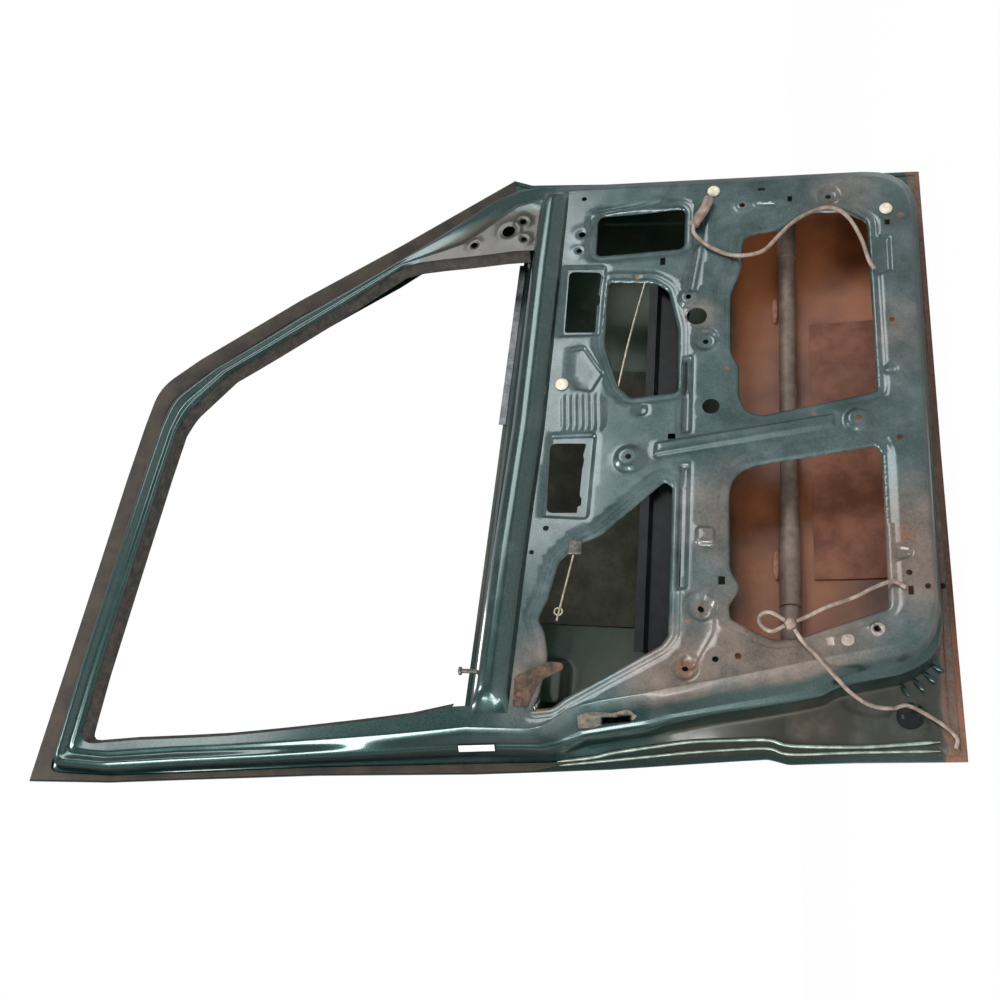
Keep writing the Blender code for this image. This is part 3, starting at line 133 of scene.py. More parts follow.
# Colours and patterns that both paints share. A pattern has its lump's width in millimetres,
# detail and roughness, then the range of the noise and the range that it is stretched to.
dirt = {
    # The dark olive-black colour is the real black paint of the mirror's corner, and also painted
    # shade on the lower rear shelf
    "blackPaintAndShade": "#292415", "rust": "#4d3226", "rustPale": "#8d6650",
    "patterns": {
        "grain": (3.5, 6.0, 0.7, 0.3, 0.7, 0.0, 1.0),
        "flake": (1.2, 2.0, 0.6, 0.35, 0.65, 0.0, 1.0),
        "warm": (90.0, 4.0, 0.6, 0.3, 0.7, -0.35, 0.10),
        "rust": (9.0, 8.0, 0.75, 0.3, 0.7, -0.75, 0.30)},
    "cloud": (5.0, 0.6, 0.3, 0.7, -0.55, 0.25),
    "smearSize": 0.75, "smearDetail": 7.0, "smearRange": (0.38, 0.62),
    "gain": {"dust": 1.35, "warm": 1.4, "rust": 1.5}, "rustRange": (0.15, 0.55),
    "blackPaintAndShadeCoat": 0.25, "coatRoughness": 0.13, "grainHeight": 0.05, "cloudHeight": 1.6,
    "bump": 0.35, "bumpHeight": 0.0012,
}


def paintedSteel(name, look):
    # Pressed sheet sprayed with a metallic green and a clear coat: deep colour, sharp glints.
    # Dust dulls it in soft clouds, and rust breaks through in grainy brown blooms.
    material, tree, place = newMaterial(name)
    mask = {key: addNode(tree, "Attribute", output="Fac", attribute_name=key)
            for key in ("rust", "dust", "warm", "black")}
    noise, spread, amount = {}, {}, {}
    patterns = {**dirt["patterns"], "dust": (look["cloud"], *dirt["cloud"])}
    for key, (size, detail, rough, low, high, toLow, toHigh) in patterns.items():
        noise[key] = addNode(tree, "TexNoise", {
            "Vector": place, "Scale": 1000.0 / size, "Detail": detail, "Roughness": rough})
        spread[key] = addNode(tree, "MapRange", {
            "Value": noise[key], "From Min": low, "From Max": high, "To Min": toLow,
            "To Max": toHigh})
    for key, (low, high), cover in (("dust", (0.0, 1.0), look["dustCover"]),
                                    ("warm", (0.0, 1.0), 1.0), ("rust", dirt["rustRange"], 1.0)):
        patchy = addNode(tree, "Math", {0: mask[key], 1: dirt["gain"][key], 2: spread[key]},
                         operation="MULTIPLY_ADD")
        amount[key] = addNode(tree, "MapRange", {
            "Value": patchy, "From Min": low, "From Max": high, "To Max": cover})
    smear = addNode(tree, "TexNoise", {
        "Vector": place, "Scale": 1000.0 / (look["cloud"] * dirt["smearSize"]),
        "Detail": dirt["smearDetail"], "Roughness": look["breakUp"]})
    smear = addNode(tree, "Mix", {0: look["grainShare"], 2: smear, 3: noise["grain"]})
    tone = addNode(tree, "MapRange", {
        "Value": smear, "From Min": dirt["smearRange"][0], "From Max": dirt["smearRange"][1]})
    shade = {key: hexColour(value) for key, value in {**dirt, **look}.items()
             if isinstance(value, str)}
    for key, share, under, over in (
            ("paint", spread["flake"], "paint", "flake"),
            # The black mask turns the paint dark: black paint on the mirror's corner, painted shade
            # on the shelf and a painted shadow square on it
            ("paint", mask["black"], "paint", "blackPaintAndShade"),
            ("cool", tone, "dust", "dustPale"), ("warm", tone, "brown", "brownPale"),
            ("dirt", amount["warm"], "cool", "warm"), ("dirty", amount["dust"], "paint", "dirt"),
            ("rust", spread["grain"], "rust", "rustPale"),
            ("colour", amount["rust"], "dirty", "rust")):
        shade[key] = addNode(tree, "Mix", {0: share, 6: shade[under], 7: shade[over]}, 2,
                             data_type="RGBA")
    worn = addNode(tree, "Math", {0: amount["dust"], 1: amount["rust"]}, operation="MAXIMUM")
    hidden = addNode(tree, "Math", {0: worn, 1: mask["black"]}, operation="MAXIMUM")
    levels = {}
    for key, value, clean, dull in (
            ("Metallic", hidden, look["metallic"], 0.0),
            ("coat", worn, look["coat"], look["wornCoat"]),
            ("Roughness", worn, look["roughness"], look["wornRoughness"]),
            ("blackPaintAndShade", mask["black"], 1.0, dirt["blackPaintAndShadeCoat"])):
        levels[key] = addNode(tree, "MapRange", {"Value": value, "To Min": clean, "To Max": dull})
    coat = addNode(tree, "Math", {0: levels["coat"], 1: levels["blackPaintAndShade"]}, operation="MULTIPLY")
    grainy = addNode(tree, "Math", {0: amount["rust"], 1: dirt["grainHeight"]}, operation="ADD")
    wavy = addNode(tree, "Math", {0: noise["dust"], 1: dirt["cloudHeight"]}, operation="MULTIPLY")
    height = addNode(tree, "Math", {0: noise["grain"], 1: grainy, 2: wavy},
                     operation="MULTIPLY_ADD")
    bump = addNode(tree, "Bump", {"Height": height, "Strength": dirt["bump"],
                                  "Distance": dirt["bumpHeight"]})
    shader = addNode(tree, "BsdfPrincipled", {
        "Base Color": shade["colour"], "Metallic": levels["Metallic"],
        "Roughness": levels["Roughness"], "Coat Weight": coat,
        "Coat Roughness": dirt["coatRoughness"], "Normal": bump})
    addNode(tree, "OutputMaterial", {"Surface": shader})
    return material


def plainFinish(name, colour, second, cloud, grain, roughness, metallic=0.0, bump=0.3,
                specular=0.5):
    # One finish for the small parts: body colour, a second colour in clouds, and grain. The
    # clouds and the grain are in millimetres.
    material, tree, place = newMaterial(name)
    noise = [addNode(tree, "TexNoise", {"Vector": place, "Scale": 1000.0 / size,
                                        "Detail": detail, "Roughness": 0.65})
             for size, detail in ((cloud, 6.0), (grain, 5.0))]
    share = addNode(tree, "MapRange", {"Value": noise[0], "From Min": 0.40, "From Max": 0.62})
    tone = addNode(tree, "Mix", {0: share, 6: hexColour(colour), 7: hexColour(second)}, 2,
                   data_type="RGBA")
    rough = addNode(tree, "MapRange", {"Value": noise[1], "From Min": 0.3, "From Max": 0.7,
                                       "To Min": roughness - 0.08, "To Max": roughness + 0.08})
    relief = addNode(tree, "Bump", {"Height": noise[1], "Strength": bump,
                                    "Distance": grain / 4000.0})
    shader = addNode(tree, "BsdfPrincipled", {
        "Base Color": tone, "Metallic": metallic, "Specular IOR Level": specular,
        "Roughness": rough, "Normal": relief})
    addNode(tree, "OutputMaterial", {"Surface": shader})
    return material


innerPaint = paintedSteel("sprayedGreenInnerPaint", {
    "paint": "#102723", "flake": "#284a47", "dust": "#434f50", "dustPale": "#7b8b92",
    "brown": "#725a4e", "brownPale": "#a98f82", "dustCover": 0.52, "metallic": 0.75,
    "roughness": 0.32, "coat": 1.0, "grainShare": 0.35, "cloud": 60.0, "breakUp": 0.65,
    "wornRoughness": 0.50, "wornCoat": 0.30})
outerPaint = paintedSteel("sprayedGreenOuterPaint", {
    "paint": "#0f2621", "flake": "#23433e", "dust": "#26291b", "dustPale": "#444531",
    "brown": "#59290f", "brownPale": "#a0603c", "dustCover": 0.95, "metallic": 0.75,
    "roughness": 0.32, "coat": 1.0, "grainShare": 0.10, "cloud": 170.0, "breakUp": 0.45,
    "wornRoughness": 0.38, "wornCoat": 0.70})
# Pale colour painted on a rolled lip as its highlight
paintedHighlightEdge = plainFinish(
    "paintedHighlightLipFinish", "#7d8c80", "#aab8ac", cloud=14.0, grain=1.2, roughness=0.34, metallic=0.6)
# Carrier strip of foamed rubber: brown-black, dry, with pale dust in the pores
stripRubber = plainFinish(
    "foamedStripRubber", "#2c2826", "#43392f", cloud=45.0, grain=1.5, roughness=0.78)
# Extruded rubber channel with dried soap specks
channelRubber = plainFinish(
    "extrudedChannelRubber", "#171716", "#3a322b", cloud=12.0, grain=2.0, roughness=0.7)
# Rolled tube and pressed brackets under grey-brown dust
dustySteel = plainFinish(
    "dustyRolledSteel", "#6a5c53", "#8d7a6d", cloud=35.0, grain=2.5, roughness=0.58, metallic=0.25)
# Black stoved enamel on the guide rail, slightly glossy; the dark marks use it too, as painted
# shade in two hem holes and a shelf dimple
blackEnamelAndShade = plainFinish(
    "blackStovedEnamel", "#08090a", "#17191b", cloud=30.0, grain=2.0, roughness=0.34, bump=0.15,
    specular=0.25)
# Polished aluminium trim
polishedAluminium = plainFinish(
    "polishedAluminium", "#75797b", "#54585a", cloud=20.0, grain=1.2, roughness=0.34, metallic=1.0,
    bump=0.1)
# Zinc plated steel rod gone dull
zincPlate = plainFinish(
    "dullZincPlate", "#b5ae9c", "#8f8674", cloud=8.0, grain=1.0, roughness=0.36, metallic=0.85)
# Steel blackened by phosphate, greasy and dull
phosphateSteel = plainFinish(
    "phosphatedSteel", "#47443f", "#6b675f", cloud=6.0, grain=1.0, roughness=0.45, metallic=0.5)
# Bare steel with brown rust
rustySteel = plainFinish(
    "rustedBareSteel", "#392c27", "#66503f", cloud=11.0, grain=1.6, roughness=0.7, metallic=0.2,
    bump=0.6)
# Bitumen sound pad, matt olive-black
bitumen = plainFinish(
    "pressedBitumenPad", "#24261a", "#38392a", cloud=30.0, grain=3.0, roughness=0.85)
# Moulded ivory plastic of the trim clips
clipPlastic = plainFinish(
    "mouldedIvoryPlastic", "#ece6d0", "#d8cdb2", cloud=6.0, grain=0.8, roughness=0.42, bump=0.1)
# Pink-brown mastic squeezed between beam and skin
masticPaste = plainFinish(
    "squeezedPinkMastic", "#a5705c", "#c48f79", cloud=10.0, grain=3.0, roughness=0.75)
# Polythene film rolled into straps, whitened by dust
filmStrap = plainFinish(
    "rolledDustyFilm", "#7c685d", "#ab988c", cloud=16.0, grain=1.8, roughness=0.42, bump=0.5)
# The same pad where brown dust has settled on it
dustyBitumen = plainFinish(
    "dustCoveredBitumen", "#6b3b28", "#8e5a42", cloud=60.0, grain=3.0, roughness=0.6)
# Brushed-on putty marks, pale and chalky
puttyMark = plainFinish(
    "chalkyPuttyMark", "#8f8079", "#b9aca4", cloud=6.0, grain=1.2, roughness=0.6)
# Scraped bare patch with brown edges
scrapedSteel = plainFinish(
    "scrapedBareSteel", "#4c504b", "#86766b", cloud=7.0, grain=1.4, roughness=0.5, metallic=0.3,
    bump=0.6)
# Bare paper label
labelPaper = plainFinish(
    "barePaperLabel", "#eef0ee", "#dfe2df", cloud=12.0, grain=1.0, roughness=0.55, bump=0.1)
print("materials made")

# Outlines as (x, z, rounding), x and z in thousandths of the plan's scale. Where no rounding is
# given the corner is sharp. First the shell's folds, from the outer edge in to the window.
rings = {
    "edge": (
        (-930, -255), (-936, -115), (-942, -26, 0.2), (-935, 0, 0.2), (-946, 105), (-957, 210),
        (-965, 315), (-971, 400), (-988, 621), (-1008, 817), (-1018, 912), (-1024, 1026),
        (-905, 1017), (-812, 1010), (-680, 1000), (-541, 990), (-440, 981), (-368, 972, 0.4),
        (-312, 916), (-188, 769), (-69, 614), (8, 519), (80, 430), (71, 400), (62, 200),
        (60, -244), (-468, -248), (-768, -252)),
    "flange": (
        (-905, -236, 0.3), (-911, -171), (-916, -115), (-917, -26), (-910, 0), (-912, 52),
        (-916, 105), (-925, 157), (-935, 210), (-942, 235), (-951, 290), (-957, 400), (-977, 621),
        (-999, 817), (-1009, 912), (-1010, 1000, 0.15), (-864, 991), (-662, 973), (-540, 963),
        (-439, 955), (-392, 947, 0.4), (-340, 900), (-218, 760), (-106, 606), (-35, 512),
        (40, 430, 0.1), (46, 400), (42, 380), (40, -236, 0.06), (-468, -236), (-768, -236)),
    "ledgeOuter": (
        (-760, -229), (-788, -222), (-805, -211), (-820, -192), (-830, -171), (-836, -145),
        (-843, -115), (-850, -90), (-862, -70), (-871, -31), (-879, 10), (-888, 61), (-902, 130),
        (-911, 157), (-920, 204), (-928, 244), (-939, 272), (-946, 300), (-948, 400), (-971, 621),
        (-993, 817), (-1005, 912), (-1004, 990, 0.15), (-864, 982), (-662, 965), (-541, 955),
        (-459, 947), (-402, 937, 0.4), (-345, 883), (-236, 755), (-127, 604), (-58, 510),
        (-12, 448), (6, 403), (6, 370), (6, -229, 0.165), (-468, -229)),
    "ledgeInner": (
        (-745, -226), (-777, -218), (-797, -206), (-811, -188), (-819, -170), (-825, -145),
        (-832, -112), (-840, -85), (-852, -63), (-861, -31), (-870, 10), (-880, 61), (-894, 130),
        (-903, 157), (-912, 204), (-921, 248), (-934, 277), (-941, 302), (-944, 400), (-966, 621),
        (-987, 817), (-999, 912), (-998, 982, 0.15), (-864, 974), (-662, 957), (-541, 947),
        (-459, 939), (-407, 929, 0.4), (-346, 874), (-243, 749), (-131, 600), (-67, 504),
        (-40, 447), (-5, 402), (4, 370), (4, -226, 0.165), (-468, -226)),
    "fillet": (
        (-726, -221), (-756, -216), (-783, -206), (-799, -190), (-808, -171), (-814, -146),
        (-820, -119), (-827, -93), (-834, -65), (-846, -20), (-859, 40), (-874, 100), (-883, 140),
        (-891, 190), (-904, 245), (-913, 268), (-926, 283), (-934, 297), (-938, 314), (-938, 400),
        (-957, 621), (-976, 817), (-989, 912), (-987, 970, 0.2), (-864, 963), (-662, 947),
        (-541, 936), (-459, 928), (-414, 918, 0.4), (-347, 866), (-248, 746), (-135, 597),
        (-98, 492), (-36, 408), (-24, 366), (-2, 330), (0, -221, 0.165), (-468, -221)),
    "crease": (
        (-730, -216), (-754, -211), (-777, -202), (-791, -187), (-800, -168), (-807, -143),
        (-812, -116), (-818, -90), (-827, -55), (-840, 0), (-854, 60), (-869, 130), (-878, 165),
        (-889, 220), (-896, 245), (-904, 264), (-917, 281), (-926, 294), (-931, 312), (-931, 400),
        (-951, 621), (-970, 817), (-983, 912), (-981, 963, 0.2), (-864, 956), (-662, 940),
        (-541, 930), (-459, 922), (-418, 911, 0.4), (-348, 859), (-253, 742), (-139, 594),
        (-106, 486), (-42, 402), (-30, 362), (-14, 315), (-14, -216, 0.155), (-468, -216)),
}
windowLip = (
    (-900, 374), (-902, 424), (-914, 482), (-931, 613), (-949, 745), (-963, 877), (-975, 956, 0.3),
    (-864, 951), (-662, 935), (-541, 925), (-459, 917), (-424, 905, 0.4), (-349, 851), (-258, 738),
    (-143, 591), (-136, 558), (-134, 520), (-134, 375), (-134, 350), (-468, 360))
# Matching corners of the six rings, so that the sections between them stay square
ringCorners = {
    "edge": (
        (-930, -255), (-942, -26), (-961, 270), (-971, 400), (-1024, 1026), (-368, 972), (80, 430),
        (67, 315), (60, -244)),
    "flange": (
        (-905, -236), (-917, -26), (-947, 270), (-957, 400), (-1010, 1000), (-392, 947), (40, 430),
        (42, 315), (40, -236)),
    "ledgeOuter": (
        (-805, -211), (-871, -31), (-939, 272), (-948, 400), (-1004, 990), (-402, 937), (6, 403),
        (6, 315), (6, -229)),
    "ledgeInner": (
        (-797, -206), (-861, -31), (-934, 277), (-944, 400), (-998, 982), (-407, 929), (-5, 402),
        (4, 315), (4, -226)),
    "fillet": (
        (-783, -206), (-844, -28), (-926, 283), (-938, 400), (-987, 970), (-414, 918), (-36, 408),
        (-2, 315), (0, -221)),
    "crease": (
        (-777, -202), (-834, -26), (-917, 281), (-931, 400), (-981, 963), (-418, 911), (-42, 402),
        (-14, 315), (-14, -216)),
}
cutOuts = (
    ((-70, 267, 0.15), (-58, 128, 0.15), (-138, 128, 0.15), (-147, 267, 0.15)),
    ((-198, 244, 0.12), (-202, 172, 0.3), (-219, 150, 0.3), (-293, 133, 0.1), (-404, 131, 0.12),
     (-412, 200, 0.2), (-393, 219, 0.3), (-318, 244, 0.12)),
    ((-119, 36, 0.3), (-107, -30, 0.3), (-77, -63, 0.3), (-80, -122, 0.3), (-102, -152, 0.2),
     (-409, -156, 0.06), (-446, 6, 0.15), (-440, 30, 0.3), (-410, 41, 0.2), (-362, 41, 0.2),
     (-335, 53, 0.2), (-228, 54, 0.1), (-180, 38, 0.2)),
    ((-536, 54, 0.3), (-500, -150, 0.06), (-510, -158, 0.3), (-747, -158, 0.05), (-791, -43, 0.2),
     (-796, -5, 0.3), (-766, 50, 0.3), (-747, 52, 0.3), (-720, 35, 0.4), (-694, 51, 0.3)),
    ((-555, 145, 0.3), (-564, 134, 0.3), (-791, 133, 0.04), (-806, 142, 0.3), (-884, 268, 0.06),
     (-898, 284, 0.3), (-902, 312, 0.2), (-876, 303, 0.3), (-826, 296, 0.3), (-790, 303, 0.3),
     (-770, 314, 0.4), (-744, 303, 0.3), (-683, 290, 0.2), (-656, 264, 0.3), (-640, 232, 0.2)))
sunkPads = (
    ((-166, 318, 0.1), (-168, 246, 0.15), (-304, 249, 0.15), (-304, 318, 0.1)),
    ((-476, 320, 0.1), (-474, 246, 0.15), (-620, 250, 0.15), (-616, 323, 0.1)))
notchedCuts = (
    ((-176, 308, 0.2), (-180, 256, 0.2), (-221, 259), (-224, 256, 0.4), (-240, 256, 0.4),
     (-243, 260), (-294, 260, 0.1), (-293, 308, 0.1)),
    ((-490, 316, 0.2), (-491, 262, 0.2), (-512, 266, 0.3), (-518, 264, 0.3), (-536, 266),
     (-578, 267), (-582, 264, 0.4), (-594, 264, 0.4), (-596, 269), (-606, 269, 0.2),
     (-606, 314, 0.2)))
grooves = (
    ((-528, 127, 0.2), (-526, 107, 0.2), (-727, 107, 0.2), (-728, 127, 0.2)),
    ((-344, 127, 0.2), (-342, 107, 0.2), (-478, 107, 0.2), (-480, 127, 0.2)))
beads = (
    ((-493, 163, 0.2), (-447, -97, 0.2), (-473, -97, 0.2), (-520, 163, 0.2)),
    ((-54, 20, 0.3), (-53, -20, 0.3), (-67, -20, 0.3), (-66, 20, 0.3)),
    ((-628, 101, 0.3), (-630, 69, 0.3), (-662, 69, 0.3), (-661, 101, 0.3)))
recesses = (
    ((-376, 300, 0.2), (-324, 302, 0.2), (-318, 274, 0.2), (-344, 258, 0.2), (-370, 240, 0.2),
     (-407, 258, 0.2), (-400, 286, 0.2)),
    ((-129, -165, 0.2), (-131, -187, 0.2), (-202, -187, 0.2), (-204, -165, 0.2)),
    ((-655, -168, 0.2), (-660, -194, 0.45), (-676, -194, 0.45), (-683, -168, 0.2)))
# Dishes are (x, z, size, up), holes (x, z, size), square holes (x, z, width, height)
dishes = (
    (-0.239, 0.118, 0.86, 1), (-0.315, 0.091, 1.0, -1), (-0.520, 0.198, 1.1, 1),
    (-0.460, -0.127, 1.0, 1), (-0.064, 0.038, 0.55, 1), (-0.752, 0.090, 1.05, -1),
    (-0.839, 0.109, 0.95, -1), (-0.781, -0.141, 0.55, 1), (-0.048, -0.095, 0.9, -1),
    (-0.437, 0.183, 0.5, -1), (-0.374, -0.176, 0.5, -1))
holes = (
    (-0.272, 0.105, 1.0), (-0.433, 0.081, 0.82), (-0.139, 0.294, 0.28), (-0.107, 0.291, 0.36),
    (-0.034, 0.292, 0.28), (-0.633, 0.312, 0.28), (-0.827, 0.069, 0.28), (-0.822, 0.039, 0.30),
    (-0.288, -0.181, 0.27), (-0.489, -0.183, 0.27), (-0.671, 0.330, 0.24), (-0.698, -0.186, 0.27),
    (-0.112, 0.470, 0.36), (-0.075, 0.390, 0.36), (-0.111, 0.386, 0.30), (-0.092, 0.413, 0.70))
squareHoles = (
    (-0.166, 0.160, 0.014, 0.008), (-0.483, 0.137, 0.009, 0.011), (-0.712, 0.062, 0.013, 0.009),
    (-0.031, 0.008, 0.006, 0.011), (-0.053, -0.036, 0.011, 0.007), (-0.107, -0.182, 0.010, 0.008),
    (-0.724, -0.187, 0.013, 0.007))
clips = ((-0.032, 0.083), (-0.082, -0.181), (-0.391, 0.305))
skinWindow = (
    (-892, 424), (-904, 485), (-921, 617), (-939, 749), (-953, 882), (-962, 950, 0.3), (-904, 952),
    (-807, 947), (-675, 940), (-536, 926), (-440, 914), (-400, 905, 0.3), (-349, 852), (-270, 756),
    (-152, 604), (-100, 545, 0.3), (-88, 500), (-88, 401), (-468, 411))
handleRecess = (
    (-793, 328, 0.4), (-793, 274, 0.4), (-884, 274, 0.4), (-884, 328, 0.4))

shell = {
    "hemDepth": 0.080, "shelfRise": 0.010, "frontLedge": 0.010, "rearLedge": 0.030,
    "ledgeFall": 0.004, "filletDepth": 0.007, "wallDraft": 0.002, "beltShare": 0.400,
    "leanShare": 0.109, "blendShare": 0.45, "frameRise": 0.028, "hingeShare": 0.006,
    "frameRiseShares": (0.0, 0.0, 0.11, 0.79, 1.0, 0.79, 0.93, 0.86),
    "sheet": 0.0010, "ringPitch": 0.006, "facePitch": 0.0065, "edgePitch": 0.0032,
    "bendReach": (0.002, 0.004, 0.004, 0.0025, 0.004, 0.0045), "creaseInset": 0.0028,
    "spans": (2, 7, 4, 1, 3, 1, 1), "bendSteps": 3,
    # gaps that mesh points keep: among the relief's rows, on the flat, to the crease and to rims
    "fineGap": 0.0017, "flatGap": 0.0042, "creaseGap": 0.0015, "rimGap": 0.0009,
}
relief = {
    "lipDepth": 0.0050, "lipWidth": 0.0075, "padDepth": 0.0045, "padWall": 0.0060,
    "grooveDepth": 0.0060, "beadDepth": -0.0065, "foldWidth": 0.0070, "recessDepth": 0.0045,
    "dishRadius": 0.021, "dishHeight": 0.0060, "dishSeat": 0.52, "boltHole": 0.0042,
    "holeRadius": 0.0148, "clipHole": 0.0042, "rimStep": 0.0020, "rimReach": 0.017,
    "rimWall": 0.005,
    # rows of mesh points along the folds, as shares of their widths, and round holes in metres
    "lipRows": (0.14, 0.3, 0.5, 0.75, 1.1, 1.55, 1.85, 2.2), "foldRows": (-0.1, 0.2, 0.5, 0.8, 1.1),
    "dishRows": (1.08, 0.95, 0.85, 0.75, 0.65, 0.55, 0.42), "holeRows": (0.0025, 0.006, 0.010),
    "valleyRows": (-1.0, -0.75, -0.5, 0.0, 0.5, 0.75, 1.0),
}


# Outlines in metres on the door's plan, as rows of numbers

def roundedLine(rows, steps=6):
    corners = np.array([row[:2] for row in rows]) / 1000 * doorScale
    points = []
    for index, corner in enumerate(corners):
        if len(rows[index]) < 3:
            points.append(corner)
            continue
        rounding = rows[index][2]
        before = corners[index - 1] - corner
        after = corners[(index + 1) % len(corners)] - corner
        sides = [np.linalg.norm(before), np.linalg.norm(after)]
        reach = rounding * min(sides)
        start = corner + before / sides[0] * reach
        end = corner + after / sides[1] * reach
        for t in np.linspace(0.0, 1.0, steps + 1):
            points.append(start * (1 - t) ** 2 + corner * 2 * t * (1 - t) + end * t ** 2)
    return np.array(points)


def evenly(line, count):
    # Open line resampled to a number of equal steps
    steps = np.linalg.norm(np.diff(line, axis=0), axis=1)
    walked = np.concatenate(((0.0,), np.cumsum(steps)))
    marks = np.linspace(0.0, walked[-1], count + 1)
    return np.stack([np.interp(marks, walked, line[:, axis]) for axis in range(line.shape[1])], 1)


def closedEvenly(line, pitch):
    whole = np.vstack((line, line[:1]))
    return evenly(whole, max(8, round(lineLength(whole) / pitch)))[:-1]


def lineLength(line):
    return np.linalg.norm(np.diff(line, axis=0), axis=1).sum()


def splitLong(line, pitch):
    # Closed line with its corners kept and its long sides divided
    points = []
    for start, end in zip(line, np.roll(line, -1, 0)):
        parts = max(1, math.ceil(np.linalg.norm(end - start) / pitch))
        for part in range(parts):
            points.append(start + (end - start) * part / parts)
    return np.array(points)


def offsetLine(line, distance):
    # Moves a closed line outward
    after = np.roll(line, -1, 0) - line
    after /= np.maximum(np.linalg.norm(after, axis=1, keepdims=True), 1e-9)
    before = np.roll(after, 1, 0)
    crossed = line[:, 0] * np.roll(line[:, 1], -1) - np.roll(line[:, 0], -1) * line[:, 1]
    turn = -1.0 if crossed.sum() > 0 else 1.0
    side = np.stack((-(before + after)[:, 1], (before + after)[:, 0]), 1)
    side /= np.maximum(np.linalg.norm(side, axis=1, keepdims=True), 1e-9)
    spread = np.maximum(0.5, side[:, 0] * -before[:, 1] + side[:, 1] * before[:, 0])
    return line + side * (turn * distance / spread)[:, None]


def circleLine(x, z, radius, sides):
    angles = np.arange(sides) * 2 * math.pi / sides
    centre = np.array((x, z)) * doorScale
    return centre + radius * np.stack((np.cos(angles), np.sin(angles)), 1)


def insideDistance(points, line, reach=0.05):
    # Distance to a closed line, positive inside it and never below minus the reach
    result = np.full(len(points), -reach)
    near = np.where(np.all((points > line.min(0) - reach) & (points < line.max(0) + reach), 1))[0]
    start, step = line, np.roll(line, -1, 0) - line
    end = start + step
    length = np.maximum((step ** 2).sum(1), 1e-12)
    for first in range(0, len(near), 4000):
        part = near[first:first + 4000]
        away = points[part][:, None, :] - start[None]
        along = np.clip((away * step[None]).sum(2) / length, 0.0, 1.0)
        gap = np.sqrt(((away - along[..., None] * step[None]) ** 2).sum(2)).min(1)
        x, z = points[part][:, :1], points[part][:, 1:]
        spans = (start[:, 1] > z) != (end[:, 1] > z)
        drop = np.where(np.abs(step[:, 1]) < 1e-12, 1e-12, step[:, 1])
        cross = start[:, 0] + (z - start[:, 1]) * step[:, 0] / drop
        inside = (spans & (cross > x)).sum(1) % 2 == 1
        result[part] = np.where(inside, gap, -gap)
    return result


def softStep(value):
    t = np.clip(value, 0.0, 1.0)
    return t * t * (3 - 2 * t)


def aboveBelt(z):
    return np.maximum(0.0, z - shell["beltShare"] * doorScale)


def flangeDepth(z):
    return shell["hemDepth"] - shell["leanShare"] * aboveBelt(z)


def foldDepth(fold, x, z):
    fade = (1 - np.clip(aboveBelt(z) / (shell["blendShare"] * doorScale), 0.0, 1.0)) ** 2
    wayBack = np.clip(-x / (0.8 * doorScale), 0.0, 1.0)
    ledge = shell["frontLedge"] + (shell["rearLedge"] - shell["frontLedge"]) * wayBack
    hem = shell["hemDepth"]
    body = (hem, hem, hem - shell["shelfRise"], ledge + shell["ledgeFall"], ledge,
            shell["filletDepth"], 0.0, 0.0)[fold]
    riseFrame = shell["frameRise"] * shell["frameRiseShares"][fold]
    return flangeDepth(z) - (riseFrame + (hem - body - riseFrame) * fade)


# Inner panel: a ring of pressed folds, and the relief inside it

def ringSamples(name, line, counts):
    corners = np.array(ringCorners[name]) / 1000 * doorScale
    fine = splitLong(line, 0.003)
    marks = [int(np.argmin(((fine - corner) ** 2).sum(1))) for corner in corners]
    arcs = []
    for index, mark in enumerate(marks):
        following = marks[(index + 1) % len(marks)]
        stretch = np.vstack((fine[mark:], fine[:following + 1])) if following <= mark else \
            fine[mark:following + 1]
        arcs.append(stretch)
    if counts is None:
        counts = [max(2, round(lineLength(arc) / shell["ringPitch"])) for arc in arcs]
    return np.vstack([evenly(arc, count)[:-1] for arc, count in zip(arcs, counts)]), counts


def patchGap(plan, x, z):
    return np.hypot(*(plan - np.array((x, z)) * doorScale).T)


def sectionRows():
    names = ("edge", "flange", "ledgeOuter", "ledgeInner", "fillet", "crease")
    crease, counts = ringSamples("crease", roundedLine(rings["crease"]), None)
    plans = []
    for name in names:
        line = roundedLine(rings[name])
        plan, found = ringSamples(name, line, counts)
        plans.append(plan)
        if name == "flange":
            draft = offsetLine(roundedLine(rings["ledgeOuter"]), shell["wallDraft"])
            plans.append(ringSamples("ledgeOuter", draft, counts)[0])
    plans.append(offsetLine(crease, -shell["creaseInset"]))
    stations = []
    for fold, plan in enumerate(plans):
        x, z = plan[:, 0], plan[:, 1]
        depth = foldDepth(min(fold, 6), x, z)
        if fold in (2, 3, 4):
            x = np.minimum(x, shell["hingeShare"] * doorScale + aboveBelt(z))
        stations.append(np.stack((x, depth, z), 1))
    stations[7][:, 1] = faceDepth(plans[7])
    rows = [stations[0]]
    for fold in range(1, 8):
        here, last = stations[fold], rows[-1]
        if fold == 7:
            bend = [here]
        else:
            inward, outward = stations[fold - 1] - here, stations[fold + 1] - here
            lengths = [np.linalg.norm(side, axis=1, keepdims=True) for side in (inward, outward)]
            reach = np.minimum(shell["bendReach"][fold - 1], 0.42 * np.minimum(*lengths))
            start = here + inward / np.maximum(lengths[0], 1e-9) * reach
            end = here + outward / np.maximum(lengths[1], 1e-9) * reach
            bend = [start * (1 - t) ** 2 + here * 2 * t * (1 - t) + end * t ** 2
                    for t in np.linspace(0.0, 1.0, shell["bendSteps"] + 1)]
        spans = shell["spans"][fold - 1]
        for part in range(1, spans):
            rows.append(last + (bend[0] - last) * part / spans)
        rows += bend
    for row in rows[4:15]:  # round dimple in the shelf at the lower rear corner
        x, z, radius, fall, depth = small["shelfDimple"]
        row[:, 1] += depth * softStep((radius - patchGap(row[:, (0, 2)], x, z)) / fall)
    return rows, plans[7]


